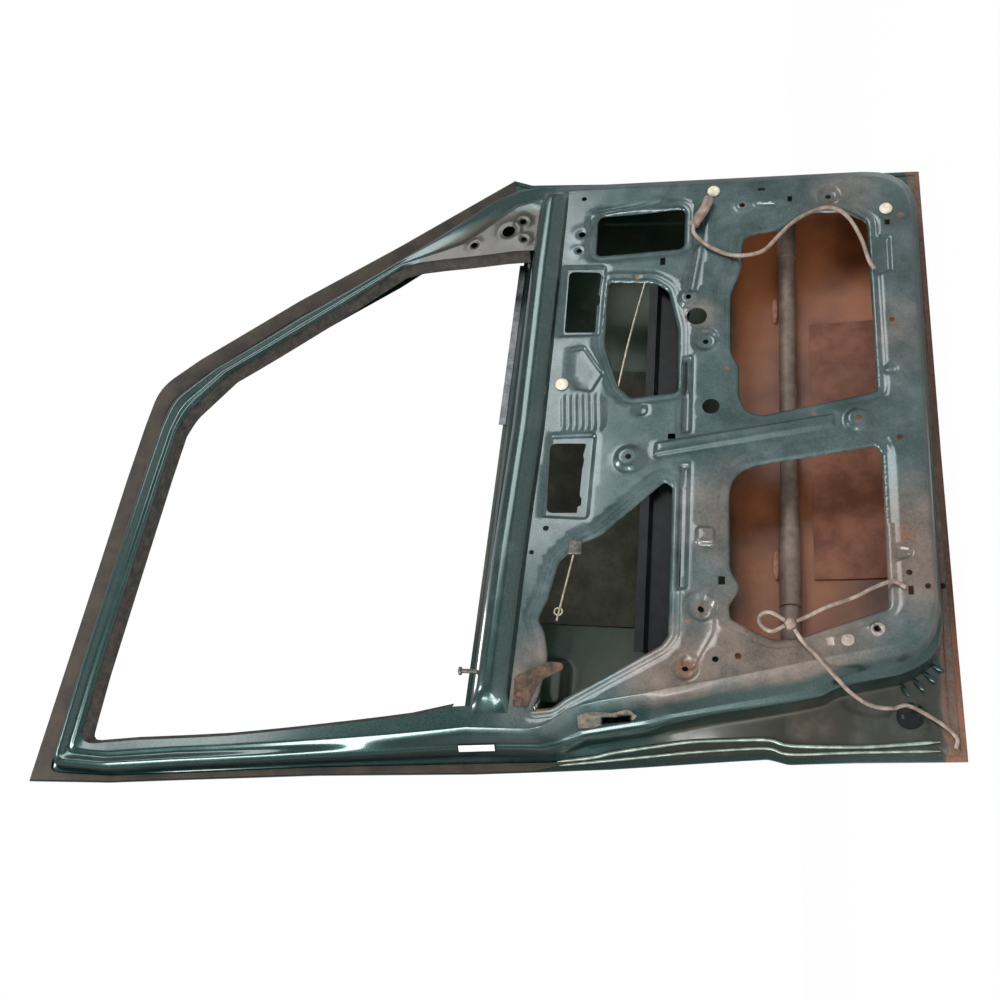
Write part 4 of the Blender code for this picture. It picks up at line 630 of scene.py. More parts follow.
def faceDepth(plan):
    # Base depth of the inner face, which falls a little from the crease to the window's lip
    x, z = plan[:, 0], plan[:, 1]
    toCrease = np.abs(insideDistance(plan, creaseLine, 0.08))
    toLip = np.abs(insideDistance(plan, lipLine, 0.08))
    share = toCrease / np.maximum(toCrease + toLip, 1e-6)
    return foldDepth(6, x, z) * (1 - share) + foldDepth(7, x, z) * share


def segmentGap(plan, start, end):
    start, end = np.array(start) * doorScale, np.array(end) * doorScale
    step = end - start
    along = np.clip(((plan - start) * step).sum(1) / (step @ step), 0.0, 1.0)
    return np.hypot(*(plan - start - along[:, None] * step).T)


# Small relief that the press left in the flat of the panel, in metres where it isn't a share
small = {
    # line, half width, depth
    "valleys": ((((-0.057, 0.104), (-0.147, 0.106), (-0.223, 0.116)), 0.009, 0.0035),
                (((-0.735, 0.078), (-0.786, 0.082), (-0.830, 0.104)), 0.012, 0.0040)),
    "ripples": 7, "rippleFirst": 0.242, "rippleStep": 0.0093, "rippleEnds": (-0.466, -0.414),
    "rippleRise": 0.004, "rippleShape": (0.0045, -0.0016), "eyeWidth": 0.006, "eyeRise": 0.0012,
    "valleyWall": 0.005, "buttonWall": 0.004,
    # rows, first height, step, start, end, rise along a row, points in a row
    "rippleMesh": (30, 0.236, 0.0024, -0.474, -0.406, 0.005, 14),
    # start, end, half width, depth outboard
    "creases": (((-0.100, -0.163), (-0.620, -0.165), 0.006, 0.0016),
                ((-0.070, 0.275), (-0.048, 0.165), 0.009, -0.0030),
                ((-0.018, 0.392), (-0.060, 0.352), 0.005, -0.0012),
                ((-0.018, 0.375), (-0.052, 0.340), 0.005, -0.0012)),
    # raised rings round small holes: x, z, radius
    "eyes": ((-0.107, 0.291, 0.012), (-0.075, 0.390, 0.010), (-0.111, 0.386, 0.009),
             (-0.112, 0.470, 0.010), (-0.092, 0.413, 0.017), (-0.139, 0.294, 0.009)),
    # x, z, radius, depth outboard
    "buttons": ((-0.795, -0.105, 0.009, -0.002), (-0.801, -0.079, 0.008, 0.002),
                (-0.193, 0.199, 0.006, 0.001), (-0.367, 0.060, 0.006, 0.001),
                (-0.448, -0.065, 0.006, 0.001), (-0.788, 0.029, 0.006, -0.001)),
    # x, z, radius, fall, depth
    "shelfDimple": (-0.8767, -0.187, 0.021, 0.007, 0.0045),
}


def smallRelief(plan):
    y = np.zeros(len(plan))
    heights = [small["rippleFirst"] + index * small["rippleStep"]
               for index in range(small["ripples"])]
    start, end = small["rippleEnds"]
    lines = [((start, z), (end, z + small["rippleRise"]), *small["rippleShape"]) for z in heights]
    for start, end, width, depth in lines + list(small["creases"]):
        y += depth * softStep(1 - segmentGap(plan, start, end) / width)
    for line, width, depth in small["valleys"]:
        gap = np.min([segmentGap(plan, start, end) for start, end in zip(line, line[1:])], 0)
        y += depth * softStep((width - gap) / small["valleyWall"])
    for x, z, radius in small["eyes"]:
        edge = np.abs(patchGap(plan, x, z) - radius)
        y -= small["eyeRise"] * softStep(1 - edge / small["eyeWidth"])
    for x, z, radius, depth in small["buttons"]:
        y += depth * softStep((radius - patchGap(plan, x, z)) / small["buttonWall"])
    return y


def reliefDepth(plan):
    y = smallRelief(plan)
    for rows in cutOuts:
        gap = -insideDistance(plan, roundedLine(rows), 0.02)
        t = np.clip(1 - gap / relief["lipWidth"], 0.0, 1.0)
        y += relief["lipDepth"] * (1 - np.sqrt(np.maximum(0.0, 1 - t ** 2)) * 0.98 - 0.02 * (1 - t))
        y += relief["rimStep"] * softStep((relief["rimReach"] - gap) / relief["rimWall"])
    for outlines, depth, width in ((sunkPads, "padDepth", "padWall"),
                                   (grooves, "grooveDepth", "foldWidth"),
                                   (beads, "beadDepth", "foldWidth"),
                                   (recesses, "recessDepth", "foldWidth")):
        for rows in outlines:
            gap = insideDistance(plan, roundedLine(rows), 0.02)
            y += relief[depth] * softStep(gap / relief[width])
    for x, z, size, way in dishes:
        radius = relief["dishRadius"] * size
        wall = radius * (1 - relief["dishSeat"])
        y -= relief["dishHeight"] * size * way * softStep((radius - patchGap(plan, x, z)) / wall)
    return y


def holeLines():
    lines = [splitLong(roundedLine(rows), 0.004) for rows in cutOuts]
    lines += [splitLong(roundedLine(rows, 3), 0.005) for rows in notchedCuts]
    lines += [circleLine(x, z, relief["boltHole"], 14) for x, z, size, way in dishes if size > 0.5]
    lines += [circleLine(x, z, relief["holeRadius"] * size, 24 if size > 0.5 else 14)
              for x, z, size in holes]
    lines += [circleLine(x, z, relief["clipHole"], 12) for x, z in clips]
    for x, z, width, height in squareHoles:
        half = np.array((width, height)) * doorScale / 2
        corners = np.array(((-1, -1), (1, -1), (1, 1), (-1, 1))) * half
        lines.append(np.array((x, z)) * doorScale + corners)
    return lines


def reliefPoints():
    # Rows of points that follow each fold, so that every highlight runs clean
    rows = []
    for outline in cutOuts:
        line = closedEvenly(roundedLine(outline), shell["edgePitch"])
        rows += [offsetLine(line, relief["lipWidth"] * share) for share in relief["lipRows"]]
    for outline in sunkPads + grooves + beads + recesses:
        line = closedEvenly(roundedLine(outline), shell["edgePitch"])
        rows += [offsetLine(line, -relief["foldWidth"] * share) for share in relief["foldRows"]]
    for x, z, size, way in dishes:
        rows += [circleLine(x, z, relief["dishRadius"] * size * share, 30)
                 for share in relief["dishRows"]]
    for x, z, size in holes:
        rows += [circleLine(x, z, relief["holeRadius"] * size + out, 24)
                 for out in relief["holeRows"]]
    count, z, step, start, end, rise, across = small["rippleMesh"]
    rows += [evenly(np.array(((start, z + index * step), (end, z + index * step + rise)))
                    * doorScale, across) for index in range(count)]
    for line, width, depth in small["valleys"]:
        steps = evenly(np.array(line) * doorScale, 40)
        side = np.gradient(steps, axis=0)[:, ::-1] * (-1, 1)
        side /= np.linalg.norm(side, axis=1, keepdims=True)
        rows += [steps + side * width * share for share in relief["valleyRows"]]
    return np.vstack(rows)


def hexGrid(low, high, pitch):
    rows = []
    for index, z in enumerate(np.arange(low[1], high[1], pitch * 0.866)):
        x = np.arange(low[0] + (index % 2) * pitch / 2, high[0], pitch)
        rows.append(np.stack((x, np.full_like(x, z)), 1))
    return np.vstack(rows)


def thinned(points, kept, gap):
    # Drops each point that stands closer than the gap to one kept before it
    cells, result = {}, []
    for index, point in enumerate(np.vstack((kept, points))):
        i, j = math.floor(point[0] / gap), math.floor(point[1] / gap)
        near = (other for a in (-1, 0, 1) for b in (-1, 0, 1)
                for other in cells.get((i + a, j + b), ()))
        if index >= len(kept):
            if any((x - point[0]) ** 2 + (z - point[1]) ** 2 < gap * gap for x, z in near):
                continue
            result.append(point)
        cells.setdefault((i, j), []).append(point)
    return np.array(result).reshape(-1, 2)


def triangulated(outer, holeRings, free):
    # Triangles between an outer line, its holes and free points; returns plan points and faces
    loops = [outer] + holeRings
    points = np.vstack(loops + [free])
    edges, first = [], 0
    for loop in loops:
        edges += [(first + i, first + (i + 1) % len(loop)) for i in range(len(loop))]
        first += len(loop)
    found = delaunay_2d_cdt([Vector(p) for p in points], edges, [], 0, 1e-7, True)
    made = np.array([tuple(p) for p in found[0]])
    faces = np.array([tuple(face) for face in found[2] if len(face) == 3])
    middle = made[faces].mean(1)
    keep = insideDistance(middle, outer, 0.01) > 0
    for ring in holeRings:
        keep &= insideDistance(middle, ring, 0.01) < 0
    # A sliver lies outside the rim where the rim's side has a triangle already
    a, b, c = (made[faces[:, index]] for index in range(3))
    area = np.abs((b - a)[:, 0] * (c - a)[:, 1] - (b - a)[:, 1] * (c - a)[:, 0])
    rims, sides = {frozenset(edge) for edge in edges}, {}
    for index in np.where(keep)[0]:
        for first, second in ((0, 1), (1, 2), (2, 0)):
            side = frozenset((int(faces[index][first]), int(faces[index][second])))
            if side in rims:
                sides.setdefault(side, []).append(index)
    for found in sides.values():
        if len(found) > 1:
            keep[min(found, key=lambda index: area[index])] = False
    return made, faces[keep]


def meshFrom(name, points, faces):
    mesh = bpy.data.meshes.new(name)
    mesh.from_pydata([tuple(p) for p in points], [],
                     [tuple(int(i) for i in face) for face in faces])
    mesh.update()
    return mesh


def addPiece(name, data, material, slot, *replaced):
    piece = bpy.data.objects.new(name, data)
    data.materials.append(material)
    scene.collection.objects.link(piece)
    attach(piece, "root")
    if replaced:
        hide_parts(*replaced)
    return piece


def applied(piece):
    # Turns the modifiers into plain mesh
    graph = bpy.context.evaluated_depsgraph_get()
    mesh = bpy.data.meshes.new_from_object(piece.evaluated_get(graph))
    old = piece.data
    piece.modifiers.clear()
    piece.data = mesh
    bpy.data.meshes.remove(old)


def softened(mesh, degrees=50.0):
    mesh.shade_smooth()
    mesh.set_sharp_from_angle(angle=math.radians(degrees))


def cleaned(mesh, gap=0.00002, outboard=None):
    # Welds points that meet and makes the faces agree, and on request face outboard or inboard
    work = bmesh.new()
    work.from_mesh(mesh)
    bmesh.ops.remove_doubles(work, verts=work.verts, dist=gap)
    bmesh.ops.recalc_face_normals(work, faces=work.faces)
    lean = sum(face.normal.y * face.calc_area() for face in work.faces)
    if outboard is not None and (lean < 0) == outboard:
        bmesh.ops.reverse_faces(work, faces=work.faces)
    work.to_mesh(mesh)
    work.free()
    mesh.shade_smooth()
    return mesh


def quadsBetween(rowCount, count, first=0, closed=True):
    # Faces between rows of points that follow each other
    faces = []
    for row in range(rowCount - 1):
        for index in range(count if closed else count - 1):
            a, after = first + row * count, (index + 1) % count
            faces.append((a + index, a + after, a + count + after, a + count + index))
    return faces


def thicken(piece, thickness):
    # Sheet of one thickness, with its rims closed
    solid = piece.modifiers.new("sheet", "SOLIDIFY")
    solid.thickness = thickness
    solid.offset = 1.0
    solid.use_rim = True
    solid.use_quality_normals = True


# Openings in the shut faces: places in metres on the front wall, and the latch slot as shares
openings = {
    "hingeHeights": (0.0, -0.304), "boltOffsets": (-0.022, 0.022), "boltRadius": 0.0045,
    "harnessShare": 0.090, "harnessRadius": 0.014, "drill": 0.030,
    "latch": (-0.9135, 0.200, 0.0205), "latchWay": (-1.0, -0.6, 0.0),
    "latchSize": (0.036, 0.010, 0.030),
}


def cutters(facts):
    work = bmesh.new()
    drills = [(height + side, facts["boltRadius"]) for height in facts["hingeHeights"]
              for side in facts["boltOffsets"]]
    drills.append((facts["harnessShare"] * doorScale + datum[2], facts["harnessRadius"]))
    for height, radius in drills:
        turn = Vector((1, 0, 0)).to_track_quat("Z", "X").to_matrix().to_4x4()
        bmesh.ops.create_cone(work, cap_ends=True, segments=24, radius1=radius, radius2=radius,
                              depth=facts["drill"],
                              matrix=Matrix.Translation((0.0, 0.0, height)) @ turn)
    turn = Vector(facts["latchWay"]).to_track_quat("Z", "X").to_matrix().to_4x4()
    bmesh.ops.create_cube(work, size=1.0, matrix=Matrix.Translation(spot(*facts["latch"])) @ turn
                          @ Matrix.Diagonal((*facts["latchSize"], 1.0)))
    mesh = bpy.data.meshes.new("cutters")
    work.to_mesh(mesh)
    work.free()
    cutter = bpy.data.objects.new("cutters", mesh)
    scene.collection.objects.link(cutter)
    return cutter


def pointsOf(mesh):
    flat = np.empty(len(mesh.vertices) * 3)
    mesh.vertices.foreach_get("co", flat)
    return flat.reshape(-1, 3)


def planOf(points):
    return (points[:, (0, 2)] - datum[[0, 2]]) / doorScale


def spreadMask(plan, spots):
    # Greatest of soft round patches, each (x share, z share, radius in metres, strength)
    value = np.zeros(len(plan))
    for x, z, radius, strength in spots:
        gap = np.hypot(plan[:, 0] - x, plan[:, 1] - z) * doorScale
        value = np.maximum(value, strength * softStep(1 - gap / radius))
    return value


def paint(mesh, **masks):
    # Writes the masks that the paint reads
    for name, values in masks.items():
        layer = mesh.attributes.new(name, "FLOAT", "POINT")
        values = np.broadcast_to(values, len(mesh.vertices))
        layer.data.foreach_set("value", np.clip(values, 0.0, 1.0).astype(np.float32))


panelWear = {
    "rustSpots": (
        (-0.193, 0.199, 0.008, 0.8), (-0.367, 0.060, 0.009, 0.7), (-0.448, -0.065, 0.009, 0.7),
        (-0.788, 0.029, 0.007, 0.8), (-0.796, 0.017, 0.006, 0.8), (-0.774, 0.106, 0.008, 0.8),
        (-0.093, -0.203, 0.010, 0.8), (-0.718, -0.211, 0.010, 0.7), (-0.069, -0.097, 0.012, 0.7),
        (-0.839, 0.109, 0.024, 0.85), (-0.520, 0.198, 0.007, 0.5), (-0.272, 0.105, 0.021, 0.55),
        (-0.752, 0.090, 0.020, 0.5), (-0.460, -0.127, 0.010, 0.5), (-0.640, -0.185, 0.032, 0.6),
        (-0.300, -0.190, 0.020, 0.4), (-0.880, 0.330, 0.018, 0.6), (-0.900, 0.300, 0.018, 0.6)),
    # Brown dust lies along the lower rear, round the rear dishes and on the hem
    "warmSpots": (
        (-0.80, -0.02, 0.20, 1.0), (-0.62, 0.05, 0.14, 0.7), (-0.84, 0.12, 0.12, 0.9),
        (-0.66, -0.20, 0.16, 1.0), (-0.30, -0.19, 0.14, 0.45), (-0.05, -0.12, 0.10, 0.55),
        (-0.27, 0.10, 0.05, 0.7), (-0.85, 0.32, 0.10, 0.7), (-0.20, 0.36, 0.05, 0.3)),
    "hemRust": 0.36, "lowDust": 0.95, "faceDust": 0.58, "warmDust": 0.45, "frameDust": 0.02,
    # The shelf's dark share is painted shade laid over the lower rear shelf
    "shelfDust": 0.12, "shelfPaintedShade": 0.85, "mirrorClean": 0.75,
    # The mirror's corner with the run of its edge, and a square of painted shadow on the shelf as
    # x, z, half sizes and least depth
    "mirror": ((-0.050, 0.345), (-0.050, 0.455), (-0.130, 0.560), (-0.155, 0.560),
               (-0.155, 0.345)),
    "mirrorRun": (-0.004, 0.008), "paintedShadowBox": (-0.881, -0.062, 0.021, 0.027, 0.05),
    # Zones bounded by soft edges, each (axis, start, width); a negative width grows downward
    "zones": {
        "low": (("z", -0.222, -0.01), ("depth", 0.045, 0.02)),
        "face": (("depth", 0.022, -0.012), ("z", 0.385, -0.05)),
        "shelf": (("depth", 0.045, 0.03), ("z", 0.05, -0.1)),
        "front": (("depth", 0.03, -0.01),),
        # This zone is where painted shade darkens the shelf
        "blackPaintAndShade": (("depth", 0.052, 0.014), ("x", -0.80, -0.03), ("z", 0.20, -0.1)),
    },
}


def wearOf(mesh, wear):
    points = pointsOf(mesh)
    plan = planOf(points)
    axes = {"x": plan[:, 0], "z": plan[:, 1], "depth": points[:, 1] - datum[1]}
    zone = {name: np.prod([softStep((axes[axis] - start) / width)
                           for axis, start, width in edges], 0)
            for name, edges in wear["zones"].items()}
    rust = np.maximum(spreadMask(plan, wear["rustSpots"]), wear["hemRust"] * zone["low"])
    warm = np.maximum(spreadMask(plan, wear["warmSpots"]), zone["low"])
    dust = np.maximum.reduce((zone["face"] * (wear["faceDust"] + wear["warmDust"] * warm),
                              zone["low"] * wear["lowDust"], zone["shelf"] * wear["shelfDust"],
                              np.full(len(plan), wear["frameDust"])))
    start, width = wear["mirrorRun"]
    corner = insideDistance(plan * doorScale, np.array(wear["mirror"]) * doorScale, 0.02)
    mirror = softStep((corner - start) / width) * zone["front"]
    # Painted shade on the shelf and a painted shadow square, both drawn dark through the black mask
    x, z, halfX, halfZ, least = wear["paintedShadowBox"]
    boxed = (np.abs(axes["x"] - x) < halfX) & (np.abs(axes["z"] - z) < halfZ)
    dark = np.maximum(wear["shelfPaintedShade"] * zone["blackPaintAndShade"], boxed & (axes["depth"] > least))
    paint(mesh, rust=rust, dust=dust * (1 - wear["mirrorClean"] * mirror), warm=warm,
          black=np.maximum(mirror, dark))


creaseLine = splitLong(roundedLine(rings["crease"]), 0.006)
lipLine = splitLong(roundedLine(windowLip), 0.006)


def makeInnerPanel():
    rows, innerPlan = sectionRows()
    loft = np.vstack(rows)
    rounds = [lipLine] + holeLines()
    kept = np.vstack([innerPlan] + rounds)
    aligned = thinned(reliefPoints(), kept, shell["fineGap"])
    coarse = thinned(hexGrid(innerPlan.min(0), innerPlan.max(0), shell["facePitch"]),
                     np.vstack((kept, aligned)), shell["flatGap"])
    free = np.vstack((aligned, coarse))
    free = free[insideDistance(free, innerPlan, 0.01) > shell["creaseGap"]]
    for ring in rounds:
        free = free[insideDistance(free, ring, 0.01) < -shell["rimGap"]]
    plan, triangles = triangulated(innerPlan, rounds, free)
    inside = insideDistance(plan, innerPlan, 0.01) > 0.0001
    depth = faceDepth(plan) + reliefDepth(plan) * inside
    face = np.stack((plan[:, 0], depth, plan[:, 1]), 1)
    points = np.vstack((loft, face)) + datum
    faces = quadsBetween(len(rows), len(rows[0])) + [tuple(t + len(loft)) for t in triangles]
    mesh = cleaned(meshFrom("innerPanelSheet", points, faces), outboard=True)
    piece = addPiece("innerPanelSheet", mesh, innerPaint, "inner_panel", "inner_panel")
    thicken(piece, shell["sheet"])
    cutter = cutters(openings)
    opened = piece.modifiers.new("openings", "BOOLEAN")
    opened.operation = "DIFFERENCE"
    opened.solver = "MANIFOLD"
    opened.object = cutter
    applied(piece)
    bpy.data.objects.remove(cutter, do_unlink=True)
    softened(piece.data)
    wearOf(piece.data, panelWear)
    print("inner panel made,", len(piece.data.polygons), "faces")


makeInnerPanel()


# Outer skin: barrelled sheet with a window, a handle recess and its hem folded round the flange
skin = {
    "bulge": 0.0238, "sheet": 0.0008, "seatGap": 0.0003, "hemWidth": 0.0065, "handleDepth": 0.024,
    "pitch": 0.012, "bottom": -0.250, "rear": -0.940, "front": 0.064,
    "handleRows": (-0.002, 0.002, 0.005, 0.008, 0.011, 0.014), "handleWall": 0.016,
    "handlePitch": 0.004, "edgePitch": 0.008, "edgeOut": 0.0004, "rowInset": 0.006,
    "fineGap": 0.0025, "flatGap": 0.006, "rimGap": 0.002,
    # wear inside the door: dust, brown dust and rust on the hem's low side, then in the cavity
    "hemWear": (0.8, 0.8, 0.36), "cavityDust": 0.45, "brownDust": 0.5, "brownRust": 0.10,
}


def skinDepth(x, z):
    middleX = (skin["front"] + skin["rear"]) / 2 * doorScale
    halfX = (skin["front"] - skin["rear"]) / 2 * doorScale
    middleZ = (shell["beltShare"] + skin["bottom"]) / 2 * doorScale
    halfZ = (shell["beltShare"] - skin["bottom"]) / 2 * doorScale
    across = np.clip((x - middleX) / halfX, -1.0, 1.0)
    up = np.clip((z - middleZ) / halfZ, -1.0, 1.0)
    bulge = skin["bulge"] * (1 - across ** 8) * (1 - up ** 2)
    return flangeDepth(z) + shell["sheet"] + skin["seatGap"] + bulge


def makeOuterSkin():
    edge = splitLong(roundedLine(rings["edge"]), skin["edgePitch"])
    edge = offsetLine(edge, skin["edgeOut"])
    window = splitLong(roundedLine(skinWindow), skin["edgePitch"])
    handle = roundedLine(handleRecess)
    rows = [offsetLine(closedEvenly(handle, skin["handlePitch"]), -step)
            for step in skin["handleRows"]]
    rows += [offsetLine(edge, -skin["rowInset"]), offsetLine(window, skin["rowInset"])]
    kept = np.vstack((edge, window))
    aligned = thinned(np.vstack(rows), kept, skin["fineGap"])
    grid = thinned(hexGrid(edge.min(0), edge.max(0), skin["pitch"]),
                   np.vstack((kept, aligned)), skin["flatGap"])
    free = np.vstack((aligned, grid))
    free = free[insideDistance(free, edge, 0.02) > skin["rimGap"]]
    free = free[insideDistance(free, window, 0.02) < -skin["rimGap"]]
    plan, triangles = triangulated(edge, [window], free)
    depth = skinDepth(plan[:, 0], plan[:, 1])
    depth -= skin["handleDepth"] * softStep(insideDistance(plan, handle, 0.05) / skin["handleWall"])
    points = np.stack((plan[:, 0], depth, plan[:, 1]), 1)
    flange = flangeDepth(edge[:, 1]) - skin["seatGap"]
    back = offsetLine(edge, -skin["hemWidth"])
    hem = [np.stack((edge[:, 0], skinDepth(edge[:, 0], edge[:, 1]), edge[:, 1]), 1),
           np.stack((edge[:, 0], flange, edge[:, 1]), 1),
           np.stack((back[:, 0], flange, back[:, 1]), 1)]
    faces = triangles.tolist() + quadsBetween(3, len(edge), len(points))
    points = np.vstack([points] + hem) + datum
    mesh = cleaned(meshFrom("outerSkinSheet", points, faces), outboard=True)
    piece = addPiece("outerSkinSheet", mesh, outerPaint, "outer_skin", "outer_skin")
    thicken(piece, skin["sheet"])
    applied(piece)
    softened(piece.data)
    found = pointsOf(piece.data)
    plan, depth = planOf(found), found[:, 1] - datum[1]
    inner = depth < skinDepth(plan[:, 0] * doorScale, plan[:, 1] * doorScale) + 0.0004
    hem = inner & (insideDistance(plan * doorScale, edge, 0.02) < 0.0085)
    inCavity = inner & (plan[:, 1] < 0.42) & ~hem
    brown = softStep((0.085 - plan[:, 1]) / 0.06)
    hemLow = (plan[:, 1] < -0.225) & inner
    cavity = (skin["cavityDust"] + skin["brownDust"] * brown, brown, skin["brownRust"] * brown)
    masks = [np.where(hemLow, onHem, np.where(inCavity, value, 0.0))
             for onHem, value in zip(skin["hemWear"], cavity)]
    paint(piece.data, dust=masks[0], warm=masks[1], rust=masks[2], black=0.0)
    print("outer skin made,", len(piece.data.polygons), "faces")


makeOuterSkin()


# Belt rail: a soft hump along the body's upper edge
beltRail = {"bulge": 0.017, "sheet": 0.0012, "columns": 110, "rows": 30, "dust": 0.10,
            "crowd": 1.15, "rearRun": 0.030, "frontRun": 0.018, "endRise": 0.06, "lift": 0.0003}
beltRailLine = ((-0.910, 0.344, 0.394), (-0.668, 0.336, 0.386), (-0.468, 0.326, 0.375),
                (-0.168, 0.320, 0.369), (-0.052, 0.318, 0.364), (-0.018, 0.318, 0.358))
beltRailSection = ((0.0, 0.0), (0.06, 0.34), (0.13, 0.56), (0.27, 0.76), (0.42, 0.94), (0.56, 1.0),
                   (0.74, 0.91), (0.88, 0.62), (1.0, 0.04))


def softSpline(knots, values, marks):
    # Smooth curve through the given knots
    slopes = np.gradient(values, knots)
    index = np.clip(np.searchsorted(knots, marks) - 1, 0, len(knots) - 2)
    span = knots[index + 1] - knots[index]
    t = (marks - knots[index]) / span
    return ((2 * t ** 3 - 3 * t ** 2 + 1) * values[index]
            + (t ** 3 - 2 * t ** 2 + t) * span * slopes[index]
            + (3 * t ** 2 - 2 * t ** 3) * values[index + 1]
            + (t ** 3 - t ** 2) * span * slopes[index + 1])


def makeBeltRail():
    line = np.array(beltRailLine)
    section = np.array(beltRailSection)
    marks = np.linspace(line[0, 0], line[-1, 0], beltRail["columns"])
    low = np.interp(marks, line[:, 0], line[:, 1])
    high = np.interp(marks, line[:, 0], line[:, 2])
    heights = np.linspace(0.0, 1.0, beltRail["rows"]) ** beltRail["crowd"]
    rise = np.clip(softSpline(section[:, 0], section[:, 1], heights), 0.0, 1.02)
    ends = softStep((marks - line[0, 0]) / beltRail["rearRun"])
    ends *= softStep((line[-1, 0] - marks) / beltRail["frontRun"])
    ends = beltRail["endRise"] + (1 - beltRail["endRise"]) * ends
    rows = []
    for height, up in zip(heights, rise):
        x = marks * doorScale + datum[0]
        z = (low + (high - low) * height) * doorScale + datum[2]
        y = datum[1] - beltRail["lift"] - beltRail["bulge"] * up * ends
        rows.append(np.stack((x, y, z), 1))
    faces = quadsBetween(len(rows), len(marks), closed=False)
    mesh = cleaned(meshFrom("beltRail", np.vstack(rows), faces), outboard=False)
    piece = addPiece("beltRail", mesh, innerPaint, "inner_panel", "belt_rail_inner")
    thicken(piece, -beltRail["sheet"])
    applied(piece)
    softened(piece.data)
    paint(piece.data, dust=beltRail["dust"], rust=0.0, warm=0.0, black=0.0)


makeBeltRail()


# CAD pieces kept in shape: a smooth copy where they are round, and a finish for each

def smoothCopy(name, node, material, slot, degrees=38.0, bevel=0.0):
    mesh = nodes[node].data.copy()
    mesh.materials.clear()
    piece = addPiece(name, cleaned(mesh), material, slot, node)
    for layer in [a for a in mesh.attributes if a.name == "custom_normal"]:
        mesh.attributes.remove(layer)
    softened(mesh, degrees)
    if bevel:
        edge = piece.modifiers.new("edges", "BEVEL")
        edge.width = bevel
        edge.segments = 2
        edge.limit_method = "ANGLE"
        edge.angle_limit = math.radians(40)
        applied(piece)
    return piece


for node, name in (("beam_bracket_rear", "rearBeamBracket"),
                   ("beam_bracket_front", "frontBeamBracket"), ("beam_sleeve", "beamSleeve")):
    smoothCopy(name, node, dustySteel, "beam_steel")
smoothCopy("runChannel", "glass_run_channel", channelRubber, "black_rubber", 60.0)
for index in (1, 2, 3):
    smoothCopy(f"masticPad{index}", f"mastic_pad_{index}", masticPaste, "mastic", 80.0)
smoothCopy("beltStud", "belt_stud", phosphateSteel, "plated_rod")
smoothCopy("rodClip", "rod_clip", phosphateSteel, "plated_rod", 30.0, 0.0006)
for node, material in {
        "frame_seal_strip": stripRubber, "belt_rail_outer": outerPaint,
        "belt_bright_strip": polishedAluminium, "window_guide_rail": blackEnamelAndShade,
        "skin_pad_upper": bitumen, "skin_pad_lower": dustyBitumen, "hinge_plate_upper": rustySteel,
        "hinge_plate_lower": rustySteel, "latch_bracket": rustySteel}.items():
    nodes[node].material_slots[0].material = material


# Tubes along a line of points

def tube(name, points, radius, material, slot, *replaced, rings=4, taper=None):
    curve = bpy.data.curves.new(name, "CURVE")
    curve.dimensions = "3D"
    curve.bevel_depth = radius
    curve.bevel_resolution = rings
    curve.use_fill_caps = True
    line = curve.splines.new("POLY")
    line.points.add(len(points) - 1)
    for index, (point, place) in enumerate(zip(line.points, points)):
        point.co = (*place, 1.0)
        point.radius = taper[index] if taper else 1.0
    line.use_smooth = True
    return addPiece(name, curve, material, slot, *replaced)


def routeSpots(route, spacing):
    # Evenly spread points on a smooth curve through every chosen point
    chosen = [spot(x, z, depth) for x, z, depth in route]
    ends = [chosen[0] * 2 - chosen[1]] + chosen + [chosen[-1] * 2 - chosen[-2]]
    dense = []
    for index in range(1, len(ends) - 2):
        a, b, c, d = ends[index - 1:index + 3]
        for step in range(12):
            t = step / 12
            dense.append(0.5 * (2 * b + (c - a) * t + (2 * a - 5 * b + 4 * c - d) * t * t
                                + (3 * b - a - 3 * c + d) * t ** 3))
    dense.append(chosen[-1])
    line = np.array([tuple(p) for p in dense])
    length = lineLength(line)
    return [Vector(p) for p in evenly(line, max(3, round(length / spacing)))], float(length)


beamLow, beamHigh = map(Vector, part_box("impact_beam"))
beamMiddle = (beamLow + beamHigh) / 2
tube("impactBeam", [Vector((x, beamMiddle.y, beamMiddle.z)) for x in
                    np.linspace(beamLow.x, beamHigh.x, 12)],
     (beamHigh.z - beamLow.z) / 2, dustySteel, "beam_steel", "impact_beam", rings=6)

